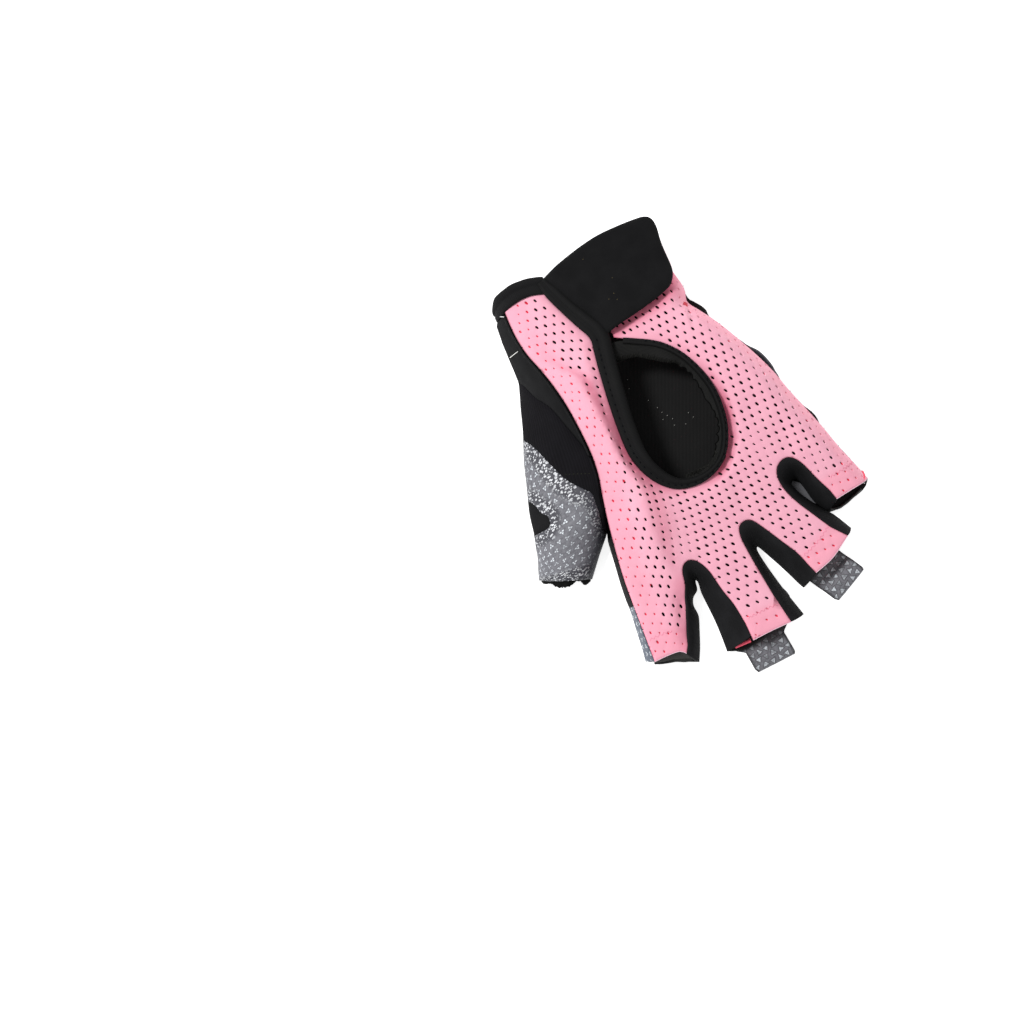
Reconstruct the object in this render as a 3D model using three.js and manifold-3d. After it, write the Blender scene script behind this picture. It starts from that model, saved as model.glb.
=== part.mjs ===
// Half-finger fitness glove for the left hand, lying palm down.
// Millimetres, +Z up. The origin lies on the surface under the middle of the palm.
// +Y points to the wrist, the fingers point to -Y, and the thumb lies on the -X side.

import * as THREE from 'three';
import { mergeVertices } from 'three/addons/utils/BufferGeometryUtils.js';
import Module from 'manifold-3d';

const { clamp, lerp, smoothstep } = THREE.MathUtils;
const wasm = await Module();
wasm.setup();

// Driving dimensions
const SEAM_GAP = 0.3;
const MESH_WALL = 1.2;
const STRETCH_WALL = 1.5;
const PALM_WALL = 1.5;
const GRIP_THICKNESS = 1.4;
const STRAP_THICKNESS = 2.6;
const BAND_THICKNESS = 2.6;
const FACING_WALL = 1.0;
const TAB_THICKNESS = 2.2;

// Heights that follow from the layers
const PALM_Z = GRIP_THICKNESS + SEAM_GAP;
const FOOT_Z = PALM_Z + PALM_WALL + SEAM_GAP;
const LAP_DROP = MESH_WALL + SEAM_GAP;
const CUT_BOTTOM = -5;
const CUT_TOP = 40;

// Colours, roughness and metalness
const PINK_MESH = { color: 0xf7b2c8, roughness: 0.78, metalness: 0 };
const BLACK_STRETCH = { color: 0x151515, roughness: 0.82, metalness: 0 };
const BLACK_RIB = { color: 0x17161a, roughness: 0.75, metalness: 0 };
const BLACK_BINDING = { color: 0x1b1b1b, roughness: 0.7, metalness: 0 };
const GRAY_LEATHER = { color: 0x6d6d74, roughness: 0.55, metalness: 0 };

// Sections of the mesh back from the wrist to the fingers: the thumb-side edge and its height,
// the crown of the back, the width over which it falls at the pinkie side, and that side's edge.
const BACK_SECTIONS = [
  { y: 76, thumbEdge: -30.3, thumbEdgeZ: 11.0, crown: 15.3, shoulder: 14, pinkieEdge: 31.4 },
  { y: 60, thumbEdge: -30.8, thumbEdgeZ: 12.5, crown: 17.0, shoulder: 14, pinkieEdge: 31.8 },
  { y: 52, thumbEdge: -30.3, thumbEdgeZ: 13.8, crown: 18.2, shoulder: 14, pinkieEdge: 32.1 },
  { y: 45, thumbEdge: -29.0, thumbEdgeZ: 15.2, crown: 19.4, shoulder: 14, pinkieEdge: 32.3 },
  { y: 40.5, thumbEdge: -28.3, thumbEdgeZ: 16.2, crown: 20.1, shoulder: 14, pinkieEdge: 30.8 },
  { y: 36, thumbEdge: -27.8, thumbEdgeZ: 16.9, crown: 20.6, shoulder: 15, pinkieEdge: 32.6 },
  { y: 29, thumbEdge: -27.4, thumbEdgeZ: 17.5, crown: 21.0, shoulder: 16, pinkieEdge: 36.6 },
  { y: 20, thumbEdge: -27.6, thumbEdgeZ: 17.7, crown: 21.2, shoulder: 17, pinkieEdge: 40.5 },
  { y: 10, thumbEdge: -28.3, thumbEdgeZ: 17.3, crown: 21.0, shoulder: 17, pinkieEdge: 43.9 },
  { y: 2, thumbEdge: -29.8, thumbEdgeZ: 16.8, crown: 20.7, shoulder: 17, pinkieEdge: 46.0 },
  { y: -6, thumbEdge: -32.5, thumbEdgeZ: 15.7, crown: 20.0, shoulder: 17, pinkieEdge: 47.4 },
  { y: -14, thumbEdge: -35.0, thumbEdgeZ: 14.6, crown: 19.0, shoulder: 16, pinkieEdge: 49.2 },
  { y: -24, thumbEdge: -37.7, thumbEdgeZ: 13.4, crown: 17.6, shoulder: 14, pinkieEdge: 51.3 },
  { y: -34, thumbEdge: -40.1, thumbEdgeZ: 12.2, crown: 15.9, shoulder: 12, pinkieEdge: 53.0 },
  { y: -44, thumbEdge: -41.9, thumbEdgeZ: 11.2, crown: 14.2, shoulder: 10, pinkieEdge: 55.3 },
  { y: -54, thumbEdge: -43.5, thumbEdgeZ: 10.5, crown: 13.0, shoulder: 9, pinkieEdge: 57.0 },
  { y: -68, thumbEdge: -45.7, thumbEdgeZ: 9.8, crown: 12.0, shoulder: 9, pinkieEdge: 58.0 },
  { y: -84, thumbEdge: -48.0, thumbEdgeZ: 9.4, crown: 11.3, shoulder: 9, pinkieEdge: 58.5 },
];
const THUMB_SHOULDER = 18;
const SHOULDER_POWER = 2.2;

// Soft fold that runs down the back beside the window, as a ridge with a steep pinkie-side flank
const FOLD_RIDGE = [
  { y: 56, x: -25.0 },
  { y: 40, x: -23.0 },
  { y: 20, x: -21.0 },
  { y: 0, x: -21.0 },
  { y: -22, x: -22.5 },
  { y: -48, x: -24.0 },
];
const FOLD_HEIGHT = 1.3;
const FOLD_FLANK_THUMB = 6;
const FOLD_FLANK_PINKIE = 3;
const FOLD_FADE = 12;

// Ribs of the thumb side from the cuff to the thumb's end: the inner end lies under the mesh
// edge, or at innerZ where it is free, the outer end at the palm's edge, with an arch between.
const THUMB_RIBS = [
  { innerX: -30.2, innerY: 72.0, outerX: -33.4, outerY: 72.0, arch: 1.0 },
  { innerX: -30.7, innerY: 62.0, outerX: -35.3, outerY: 62.0, arch: 1.4 },
  { innerX: -30.4, innerY: 53.0, outerX: -36.5, outerY: 53.0, arch: 1.8 },
  { innerX: -29.0, innerY: 45.0, outerX: -37.6, outerY: 45.5, arch: 2.4 },
  { innerX: -27.9, innerY: 37.0, outerX: -41.4, outerY: 37.5, arch: 2.8 },
  { innerX: -27.4, innerY: 29.0, outerX: -45.2, outerY: 29.2, arch: 3.0 },
  { innerX: -27.6, innerY: 20.0, outerX: -50.1, outerY: 20.0, arch: 3.0 },
  { innerX: -28.2, innerY: 11.0, outerX: -54.1, outerY: 11.0, arch: 3.0 },
  { innerX: -29.8, innerY: 2.0, outerX: -58.1, outerY: 2.0, arch: 3.4 },
  { innerX: -32.2, innerY: -5.0, outerX: -60.3, outerY: -5.0, arch: 4.2 },
  { innerX: -33.8, innerY: -10.0, outerX: -62.3, outerY: -10.0, arch: 5.0 },
  { innerX: -35.0, innerY: -14.0, outerX: -63.8, outerY: -14.0, arch: 6.8, innerZ: 9.5 },
  { innerX: -37.0, innerY: -18.6, outerX: -65.2, outerY: -17.3, arch: 8.4, innerZ: 4.4 },
  { innerX: -43.0, innerY: -23.8, outerX: -66.1, outerY: -19.9, arch: 8.5, innerZ: 3.6 },
  { innerX: -50.5, innerY: -31.2, outerX: -67.0, outerY: -22.2, arch: 8.2, innerZ: 3.6 },
];
const THUMB_FREE_RIBS = 3;
const THUMB_RIB_SPLITS = 11;
const ARCH_POWER = 0.6;

// Plan curves of the thumb side, each from the wrist to the fingers
const GUSSET_SEAM = [[-40, 46.5], [-37.3, 44.6], [-35.6, 37.4], [-32.8, 31.3], [-31, 21.5], [-29.1, 11.8],
  [-28.2, 6], [-26, 2]];
const PATCH_SEAM = [[-50, 30], [-46.7, 26.3], [-44.8, 21.8], [-42.9, 13.8], [-40.6, 6], [-37.6, 1.1],
  [-35.1, -2.8], [-35.4, -6], [-36.4, -12], [-37.4, -17], [-35, -21]];
const THUMB_NOTCH = [[-62, 6], [-56.1, 5.6], [-54.6, 0.1], [-53.2, -1.9], [-53.7, -4.8], [-56.1, -5.8],
  [-66, -5.6]];

// Lower outline of the mesh back: index hem, fork, middle hem, fork, ring hem, fork, pinkie hem
const INDEX_HEM = [[-60, -66.4], [-45.6, -67.3], [-36, -68.3], [-34.1, -70.2]];
const FORK_INDEX_MIDDLE = [[-32.1, -68], [-29.7, -63], [-26.8, -57.6], [-24, -51.6], [-22.1, -47.6],
  [-21.1, -44.2], [-19.6, -41.8], [-17.2, -41], [-15.2, -42], [-13.6, -44.2], [-12.2, -48.7],
  [-11.5, -56.5], [-10.4, -63.5], [-10.2, -71.3]];
const MIDDLE_HEM = [[-10.8, -78.1], [4.5, -79.3]];
const FORK_MIDDLE_RING = [[3.7, -68.3], [3.5, -58.6], [3.4, -48.7], [3.7, -43], [5, -39.7], [7.1, -38.8],
  [9.2, -39.3], [10.9, -41.2], [13.5, -46.6], [16.1, -52.6], [18.7, -58.6], [20.1, -64.4]];
const RING_HEM = [[21.1, -68.3], [29, -66.6], [37.7, -62.4]];
const FORK_RING_PINKIE = [[33.8, -56.6], [30.7, -49.7], [27.6, -42.7], [25.7, -36.5], [25.6, -31],
  [27.4, -27.6], [30.1, -26.4], [32.6, -26.8], [34.5, -28.7], [36.1, -32.1], [38, -38.9], [40, -44.9]];
const PINKIE_HEM = [[40.6, -48.7], [50, -48.4], [56.3, -48.8], [70, -49.4]];

// Window and slit of the mesh back, from the cuff down the thumb side, round and up again, with
// the width of the binding that edges it and how far that stands above the mesh
const WINDOW_EDGE = [
  { x: -14.2, y: 72.0, width: 3.6, rise: 2.1 },
  { x: -14.0, y: 67.0, width: 5.4, rise: 2.1 },
  { x: -12.1, y: 59.3, width: 5.6, rise: 2.1 },
  { x: -9.8, y: 51.5, width: 6.2, rise: 2.1 },
  { x: -8.0, y: 45.4, width: 6.6, rise: 1.9 },
  { x: -9.3, y: 40.0, width: 6.8, rise: 1.2 },
  { x: -11.0, y: 33.9, width: 6.8, rise: 0.7 },
  { x: -13.5, y: 23.3, width: 6.6, rise: 0.5 },
  { x: -15.4, y: 13.7, width: 6.4, rise: 0.5 },
  { x: -16.6, y: 5.0, width: 6.2, rise: 0.5 },
  { x: -16.6, y: 0.0, width: 5.9, rise: 0.5 },
  { x: -15.5, y: -5.6, width: 5.5, rise: 0.5 },
  { x: -12.9, y: -11.4, width: 5.0, rise: 0.4 },
  { x: -9.0, y: -16.2, width: 4.4, rise: 0.4 },
  { x: -4.1, y: -18.8, width: 3.8, rise: 0.4 },
  { x: 1.7, y: -19.5, width: 3.4, rise: 0.4 },
  { x: 7.5, y: -18.5, width: 3.0, rise: 0.4 },
  { x: 12.3, y: -15.8, width: 2.9, rise: 0.4 },
  { x: 16.3, y: -10.9, width: 2.8, rise: 0.4 },
  { x: 19.4, y: -3.6, width: 2.7, rise: 0.4 },
  { x: 21.1, y: 5.0, width: 2.6, rise: 0.4 },
  { x: 21.0, y: 12.0, width: 2.5, rise: 0.4 },
  { x: 19.4, y: 19.5, width: 2.3, rise: 0.4 },
  { x: 16.6, y: 26.3, width: 2.1, rise: 0.4 },
  { x: 11.8, y: 32.5, width: 2.0, rise: 0.4 },
  { x: 4.6, y: 37.9, width: 2.0, rise: 0.4 },
  { x: 2.0, y: 39.6, width: 2.0, rise: 0.4 },
];
const SLIT_EDGE = [[-0.6, 41.6], [-0.5, 44.2], [-2.9, 51.8], [-6.4, 62], [-9.6, 70.6], [-10.4, 80],
  [-14.2, 80]];
const BINDING_HALF_HEIGHT = 1.8;
const BINDING_SQUARENESS = 0.7;
const BINDING_SPLITS = 8;

// Inner edge of the facing, matched to the window's edge from its bottom up the pinkie side
const FACING_RIBS = [
  { outerX: -6.5, outerY: -19.6, innerX: -2.5, innerY: -14.2 },
  { outerX: 1.7, outerY: -21.3, innerX: 2.4, innerY: -15.2 },
  { outerX: 8.2, outerY: -20.2, innerX: 6.6, innerY: -14.9 },
  { outerX: 13.6, outerY: -17.3, innerX: 10.3, innerY: -12.9 },
  { outerX: 17.9, outerY: -11.8, innerX: 12.6, innerY: -9.2 },
  { outerX: 21.2, outerY: -4, innerX: 15.2, innerY: -4.4 },
  { outerX: 22.9, outerY: 5, innerX: 16.1, innerY: 2.2 },
  { outerX: 22.8, outerY: 12.2, innerX: 16.6, innerY: 9.4 },
  { outerX: 21.1, outerY: 20.2, innerX: 14.7, innerY: 16.4 },
  { outerX: 18.1, outerY: 27.4, innerX: 12.4, innerY: 22.6 },
  { outerX: 13, outerY: 34, innerX: 8.9, innerY: 27.6 },
  { outerX: 5.6, outerY: 39.5, innerX: 3.4, innerY: 31.6 },
  { outerX: 1.8, outerY: 42, innerX: -2.2, innerY: 33.4 },
];
const FACING_DROP = 2.5;
const FACING_SAG = 2.2;
const FACING_WAVE = 0.5;

// Strap outline and its arch over the wrist
const STRAP_ROOT = [[-0.2, 44.3], [-2.6, 51.9], [-6.1, 62.1], [-9.3, 70.7], [-9.8, 73.2]];
const STRAP_WRIST_EDGE = [[-6.5, 74], [0, 74.9], [8, 75.3], [17, 75.1], [26, 74.2]];
const STRAP_FREE_END = [[30.6, 73.1], [32.6, 71.4], [33, 68.6], [31.7, 60.4], [30.6, 54]];
const STRAP_FINGER_EDGE = [[29.2, 50.4], [26.6, 47.9], [22, 46.7], [7.3, 44.8]];
const STRAP_LIFT = 0.9;
const STRAP_FLAT_UNTIL = 8;
const STRAP_DROOP = 0.0062;
const STRAP_GRID_X = [-12, -6, 0, 6, 12, 18, 24, 30, 36];
const STRAP_GRID_Y = [78, 72, 66, 60, 54, 48, 42];

// Band round the wrist mouth: its outer face in section, and its finger and wrist edges
const CUFF_STATIONS = [
  { x: -14.6, z: 16.4, fingerEdge: 67.9, wristEdge: 73.6 },
  { x: -18.3, z: 16.2, fingerEdge: 69.6, wristEdge: 76.2 },
  { x: -23.0, z: 15.2, fingerEdge: 70.1, wristEdge: 77.1 },
  { x: -27.7, z: 13.2, fingerEdge: 69.2, wristEdge: 76.8 },
  { x: -31.2, z: 10.4, fingerEdge: 68.4, wristEdge: 75.6 },
  { x: -33.3, z: 7.4, fingerEdge: 68.0, wristEdge: 74.2 },
  { x: -34.0, z: 4.2, fingerEdge: 68.0, wristEdge: 73.4 },
  { x: -32.8, z: 1.4, fingerEdge: 68.0, wristEdge: 73.0 },
  { x: -29.6, z: 0.0, fingerEdge: 67.6, wristEdge: 73.0 },
  { x: -10.0, z: 0.0, fingerEdge: 67.0, wristEdge: 73.0 },
  { x: 10.0, z: 0.0, fingerEdge: 67.0, wristEdge: 73.0 },
  { x: 27.8, z: 0.0, fingerEdge: 67.0, wristEdge: 73.0 },
  { x: 31.0, z: 1.4, fingerEdge: 67.0, wristEdge: 72.8 },
  { x: 32.2, z: 4.2, fingerEdge: 67.0, wristEdge: 72.6 },
  { x: 30.8, z: 7.6, fingerEdge: 67.0, wristEdge: 72.6 },
  { x: 27.4, z: 11.2, fingerEdge: 67.0, wristEdge: 72.8 },
  { x: 21.5, z: 14.4, fingerEdge: 67.0, wristEdge: 72.8 },
  { x: 12.0, z: 15.8, fingerEdge: 67.0, wristEdge: 72.8 },
  { x: -2.0, z: 15.9, fingerEdge: 67.0, wristEdge: 72.8 },
];
const CUFF_BEVEL = 0.8;
const CUFF_THUMB_STATIONS = 7;

// Ribs of the walls between the fingers, from one finger's tip round the fork to the next tip:
// the upper end under the edge of the mesh back and the lower end at the palm's edge
const WALL_INDEX_MIDDLE = [
  { upX: -34.1, upY: -70.2, lowX: -31.2, lowY: -75.6 },
  { upX: -32.1, upY: -68.0, lowX: -28.6, lowY: -72.6 },
  { upX: -29.7, upY: -63.0, lowX: -25.6, lowY: -68.2 },
  { upX: -26.8, upY: -57.6, lowX: -23.2, lowY: -63.0 },
  { upX: -24.0, upY: -51.6, lowX: -21.9, lowY: -58.0 },
  { upX: -22.1, upY: -47.6, lowX: -20.7, lowY: -54.8 },
  { upX: -21.1, upY: -44.2, lowX: -19.1, lowY: -52.4 },
  { upX: -19.6, upY: -41.8, lowX: -18.2, lowY: -50.6 },
  { upX: -17.2, upY: -41.0, lowX: -17.4, lowY: -49.8 },
  { upX: -15.2, upY: -42.0, lowX: -16.9, lowY: -50.5 },
  { upX: -13.6, upY: -44.2, lowX: -17.2, lowY: -52.2 },
  { upX: -12.2, upY: -48.7, lowX: -17.8, lowY: -54.6 },
  { upX: -11.5, upY: -56.5, lowX: -18.2, lowY: -60.0 },
  { upX: -10.4, upY: -63.5, lowX: -18.6, lowY: -66.0 },
  { upX: -10.2, upY: -71.3, lowX: -19.4, lowY: -72.4 },
  { upX: -10.8, upY: -78.1, lowX: -20.4, lowY: -78.3 },
];
const WALL_MIDDLE_RING = [
  { upX: 4.5, upY: -79.3, lowX: 10.9, lowY: -80.4 },
  { upX: 3.7, upY: -68.3, lowX: 9.2, lowY: -69.4 },
  { upX: 3.5, upY: -58.6, lowX: 8.2, lowY: -60.4 },
  { upX: 3.4, upY: -48.7, lowX: 7.8, lowY: -54.4 },
  { upX: 3.7, upY: -43.0, lowX: 7.8, lowY: -52.0 },
  { upX: 5.0, upY: -39.7, lowX: 8.0, lowY: -50.9 },
  { upX: 7.1, upY: -38.8, lowX: 8.5, lowY: -50.4 },
  { upX: 9.2, upY: -39.3, lowX: 9.0, lowY: -51.2 },
  { upX: 10.9, upY: -41.2, lowX: 9.6, lowY: -52.8 },
  { upX: 13.5, upY: -46.6, lowX: 10.8, lowY: -56.4 },
  { upX: 16.1, upY: -52.6, lowX: 12.4, lowY: -61.2 },
  { upX: 18.7, upY: -58.6, lowX: 13.9, lowY: -66.2 },
  { upX: 20.1, upY: -64.4, lowX: 14.9, lowY: -69.8 },
  { upX: 21.1, upY: -68.3, lowX: 15.7, lowY: -72.0 },
];
const WALL_RING_PINKIE = [
  { upX: 37.7, upY: -62.4, lowX: 41.8, lowY: -61.6 },
  { upX: 33.8, upY: -56.6, lowX: 38.4, lowY: -55.4 },
  { upX: 30.7, upY: -49.7, lowX: 35.0, lowY: -49.0 },
  { upX: 27.6, upY: -42.7, lowX: 31.9, lowY: -42.2 },
  { upX: 25.7, upY: -36.5, lowX: 30.3, lowY: -38.4 },
  { upX: 25.6, upY: -31.0, lowX: 30.3, lowY: -36.6 },
  { upX: 27.4, upY: -27.6, lowX: 30.8, lowY: -35.8 },
  { upX: 30.1, upY: -26.4, lowX: 31.5, lowY: -35.7 },
  { upX: 32.6, upY: -26.8, lowX: 32.1, lowY: -36.4 },
  { upX: 34.5, upY: -28.7, lowX: 32.8, lowY: -38.0 },
  { upX: 36.1, upY: -32.1, lowX: 33.7, lowY: -40.4 },
  { upX: 38.0, upY: -38.9, lowX: 35.2, lowY: -44.4 },
  { upX: 40.0, upY: -44.9, lowX: 37.4, lowY: -48.6 },
  { upX: 40.6, upY: -48.7, lowX: 39.0, lowY: -51.4 },
];
const INDEX_SIDE = [
  { upX: -36.4, upY: -19.4, lowX: -38.2, lowY: -21.4 },
  { upX: -37.7, upY: -24.0, lowX: -39.3, lowY: -26.0 },
  { upX: -39.1, upY: -29.6, lowX: -40.6, lowY: -31.4 },
  { upX: -40.5, upY: -36.0, lowX: -42.0, lowY: -37.2 },
  { upX: -41.7, upY: -42.6, lowX: -43.3, lowY: -43.4 },
  { upX: -42.5, upY: -47.6, lowX: -44.3, lowY: -48.2 },
  { upX: -43.8, upY: -55.0, lowX: -45.9, lowY: -55.4 },
  { upX: -45.0, upY: -62.4, lowX: -47.3, lowY: -62.6 },
  { upX: -45.6, upY: -67.3, lowX: -48.1, lowY: -67.6 },
];
const INDEX_GRIP_SEAM = [[-50, -49], [-38, -46.4]];
const WALL_BULGE = 1.7;
const WALL_SPLITS = 3;

// Outline of the palm panel that the walls' lower ends don't give
const PINKIE_END = [[37.6, -52.6], [42, -53.2], [52.6, -51.8], [56.2, -49.2]];
const PINKIE_SIDE = [[54.9, -42], [53.2, -34.5], [51.9, -26.6], [51.6, -20], [50.2, -13.6], [47.6, -6],
  [46.6, 0], [45, 8], [42.6, 15.4], [38.2, 24.7], [36.9, 30.6], [35.4, 35.6], [33.2, 42.4], [32.6, 50],
  [32, 66.4]];
const CUFF_SIDE = [[0, 66.4], [-31, 66.4]];
const MIDDLE_END = [[-17, -80], [-14, -81.4], [2.4, -81.6]];

// Outlines of the grip pads under the palm and fingers
const PALM_PAD = [[-30, -2], [-33, -16], [-36, -30], [-22, -42], [0, -46], [16, -44], [26, -34], [46, -36],
  [48, -22], [44, -8], [24, -6], [4, 6], [-16, 8]];
const HEEL_PAD = [[10, 10], [26, -1], [45, -2], [47, 2.5], [46.8, 7], [45.4, 12], [42.4, 16.5], [37, 27],
  [33, 38], [30, 56], [12, 58], [6, 34]];
const FINGER_PADS = {
  thumb_grip: [[-47, 24], [-52, 12], [-57, 0], [-61.5, -12], [-64.5, -20.5], [-51, -28.6], [-44, -22.4],
    [-38.6, -14], [-36.5, -4], [-36, 20]],
  index_grip: [[-40.5, -46], [-27, -48], [-24.6, -58], [-29.4, -68.5], [-33.5, -71.5], [-44.5, -66.5]],
  middle_grip: [[-15, -51], [5, -51], [7, -62], [8.5, -74.5], [-17.5, -74.5], [-16, -62]],
  ring_grip: [[11.5, -50], [27, -42], [36, -56.5], [38.4, -61], [33.6, -62.4], [18.4, -67.6], [14, -60]],
  pinkie_grip: [[38.5, -39], [52.5, -38], [54.6, -48], [41.5, -50.5]],
};

// Pull tabs: root corners under the fingertip, then the free corners, and the height of the loop
const TABS = {
  pull_tab_middle: { root: [[-14.4, -76], [1, -76]], free: [[-14.4, -91], [1, -91.6]], loop: 2.4 },
  pull_tab_ring: { root: [[18.4, -69.4], [33, -64]], free: [[24.6, -82], [38.6, -77.2]], loop: 4.4 },
};
const TAB_ROOT_TOP = 1.4;
const TAB_EDGE_DROP = 0.5;
const TAB_OPENS = [0.3, 0.7];
const TAB_ROWS = 6;
const TAB_COLUMNS = 4;

// Frayed end of the thumb lining
const LINER_INSIDE = 5;
const LINER_OUTSIDE = 2.2;
const LINER_FRAY = 0.9;
const LINER_SPLITS = 12;
const LINER_MARGIN = 0.12;
const LINER_DROP = STRETCH_WALL + SEAM_GAP + 0.1;

// Columns and rows of the grids
const BACK_COLUMNS = [0, 0.06, 0.13, 0.2, 0.28, 0.36, 0.44, 0.52, 0.6, 0.68, 0.76, 0.83, 0.89, 0.94,
  0.98, 1];
const BACK_ROWS = 34;
const FACING_COLUMNS = [0, 0.6, 1];

// Smooth value of one column at a place y, for rows that run from the wrist to the fingers
function columnAt(rows, y, column) {
  const last = rows.length - 1;
  const place = clamp(y, rows[last].y, rows[0].y);
  let i = 0;
  while (i < last - 1 && place < rows[i + 1].y) {
    i += 1;
  }
  const slope = (a, b) => (rows[b][column] - rows[a][column]) / (rows[b].y - rows[a].y);
  const step = rows[i + 1].y - rows[i].y;
  const t = (place - rows[i].y) / step;
  const here = slope(i, i + 1);
  const before = i > 0 ? (slope(i - 1, i) + here) / 2 : here;
  const after = i + 2 <= last ? (here + slope(i + 1, i + 2)) / 2 : here;
  const p = rows[i][column];
  const q = rows[i + 1][column];
  const bend = (before * (1 - t) - after * t) * step + (q - p) * (2 * t - 1);
  return p + (q - p) * t + t * (1 - t) * bend;
}

// Height that the soft fold adds at a place
function foldHeight(x, y) {
  const top = FOLD_RIDGE[0].y;
  const bottom = FOLD_RIDGE[FOLD_RIDGE.length - 1].y;
  const fade = smoothstep(top - y, 0, FOLD_FADE) * smoothstep(y - bottom, 0, FOLD_FADE);
  const offset = x - columnAt(FOLD_RIDGE, y, 'x');
  const flank = offset < 0 ? FOLD_FLANK_THUMB : FOLD_FLANK_PINKIE;
  return FOLD_HEIGHT * fade * Math.exp(-((offset / flank) ** 2));
}

// Height of the upper face of the mesh back
function backZ(x, y) {
  const crown = columnAt(BACK_SECTIONS, y, 'crown');
  const thumbEdge = columnAt(BACK_SECTIONS, y, 'thumbEdge');
  const thumbEdgeZ = columnAt(BACK_SECTIONS, y, 'thumbEdgeZ');
  const pinkieEdge = columnAt(BACK_SECTIONS, y, 'pinkieEdge');
  const shoulder = columnAt(BACK_SECTIONS, y, 'shoulder');
  const fromThumb = clamp((x - thumbEdge) / THUMB_SHOULDER, 0, 1);
  const fromPinkie = clamp((pinkieEdge - x) / shoulder, 0, 1);
  const thumbFall = (crown - thumbEdgeZ) * (1 - fromThumb) ** 2;
  const pinkieFall = (crown - FOOT_Z) * (1 - fromPinkie) ** SHOULDER_POWER;
  return crown - thumbFall - pinkieFall + foldHeight(x, y) * fromPinkie;
}

// Closed sheet whose outer face passes through a grid of points and whose wall lies below it,
// no lower than the foot of the walls
function sheet(grid, wall) {
  const rows = grid.length;
  const columns = grid[0].length;
  const inner = grid.map((row, i) => row.map((point, j) => {
    const along = grid[Math.min(i + 1, rows - 1)][j].clone().sub(grid[Math.max(i - 1, 0)][j]);
    const across = row[Math.min(j + 1, columns - 1)].clone().sub(row[Math.max(j - 1, 0)]);
    const normal = along.cross(across).normalize();
    const under = point.clone().addScaledVector(normal, -wall);
    under.z = Math.max(under.z, FOOT_Z);
    return under;
  }));
  return closedGrid(grid, inner);
}

// Closed solid between an outer and an inner grid of points
function closedGrid(outer, inner) {
  const rows = outer.length;
  const columns = outer[0].length;
  const points = [...outer.flat(), ...inner.flat()];
  const shift = rows * columns;
  const index = [];
  const quad = (a, b, c, d) => index.push(a, b, c, a, c, d);
  for (let i = 0; i < rows - 1; i += 1) {
    for (let j = 0; j < columns - 1; j += 1) {
      const a = i * columns + j;
      const b = a + columns;
      quad(a, b, b + 1, a + 1);
      quad(a + shift, a + 1 + shift, b + 1 + shift, b + shift);
    }
  }
  const rim = [];
  for (let j = 0; j < columns - 1; j += 1) {
    rim.push(j);
  }
  for (let i = 0; i < rows - 1; i += 1) {
    rim.push(i * columns + columns - 1);
  }
  for (let j = columns - 1; j > 0; j -= 1) {
    rim.push((rows - 1) * columns + j);
  }
  for (let i = rows - 1; i > 0; i -= 1) {
    rim.push(i * columns);
  }
  rim.forEach((a, k) => {
    const b = rim[(k + 1) % rim.length];
    quad(a, b, b + shift, a + shift);
  });
  return indexed(points, index);
}

// Closed loop of rings, each a ring of points, with flat caps at both ends
function tubeOfRings(rings) {
  const size = rings[0].length;
  const index = [];
  for (let i = 0; i < rings.length - 1; i += 1) {
    for (let j = 0; j < size; j += 1) {
      const a = i * size + j;
      const b = i * size + (j + 1) % size;
      index.push(a, b, b + size, a, b + size, a + size);
    }
  }
  const end = (rings.length - 1) * size;
  for (let j = 1; j < size - 1; j += 1) {
    index.push(0, j + 1, j);
    index.push(end, end + j, end + j + 1);
  }
  return indexed(rings.flat(), index);
}

function indexed(points, index) {
  const geometry = new THREE.BufferGeometry();
  const numbers = points.flatMap((point) => point.toArray());
  geometry.setAttribute('position', new THREE.Float32BufferAttribute(numbers, 3));
  geometry.setIndex(index);
  return geometry;
}

function toManifold(geometry) {
  const bare = geometry.clone();
  bare.deleteAttribute('normal');
  bare.deleteAttribute('uv');
  const merged = mergeVertices(bare, 1e-5);
  return new wasm.Manifold(new wasm.Mesh({
    numProp: 3,
    vertProperties: new Float32Array(merged.attributes.position.array),
    triVerts: new Uint32Array(merged.index.array),
  }));
}

function toGeometry(solid) {
  const mesh = solid.getMesh();
  const geometry = new THREE.BufferGeometry();
  geometry.setAttribute('position', new THREE.Float32BufferAttribute(mesh.vertProperties, 3));
  geometry.setIndex(new THREE.Uint32BufferAttribute(mesh.triVerts, 1));
  return geometry;
}

// Upright solid over a plan outline
function prism(outline, bottom = CUT_BOTTOM, top = CUT_TOP) {
  const shape = new THREE.Shape(outline.map(([x, y]) => new THREE.Vector2(x, y)));
  const geometry = new THREE.ExtrudeGeometry(shape, { depth: top - bottom, bevelEnabled: false });
  geometry.translate(0, 0, bottom);
  return geometry;
}

// Plan outline of a thin cut along a seam
function seamCut(points, width = SEAM_GAP) {
  const side = (sign) => points.map(([x, y], i) => {
    const [ax, ay] = points[Math.max(i - 1, 0)];
    const [bx, by] = points[Math.min(i + 1, points.length - 1)];
    const length = Math.hypot(bx - ax, by - ay);
    const reach = sign * width / 2 / length;
    return [x - (by - ay) * reach, y + (bx - ax) * reach];
  });
  return [...side(1), ...side(-1).reverse()];
}

const column = (outline) => toManifold(prism(outline));
const keep = (solid, outline) => solid.intersect(column(outline));

function cut(solid, ...outlines) {
  return outlines.reduce((rest, outline) => rest.subtract(column(outline)), solid);
}

function part(name, geometry, finish) {
  const mesh = new THREE.Mesh(geometry, new THREE.MeshStandardMaterial(finish));
  mesh.name = name;
  return mesh;
}

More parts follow.
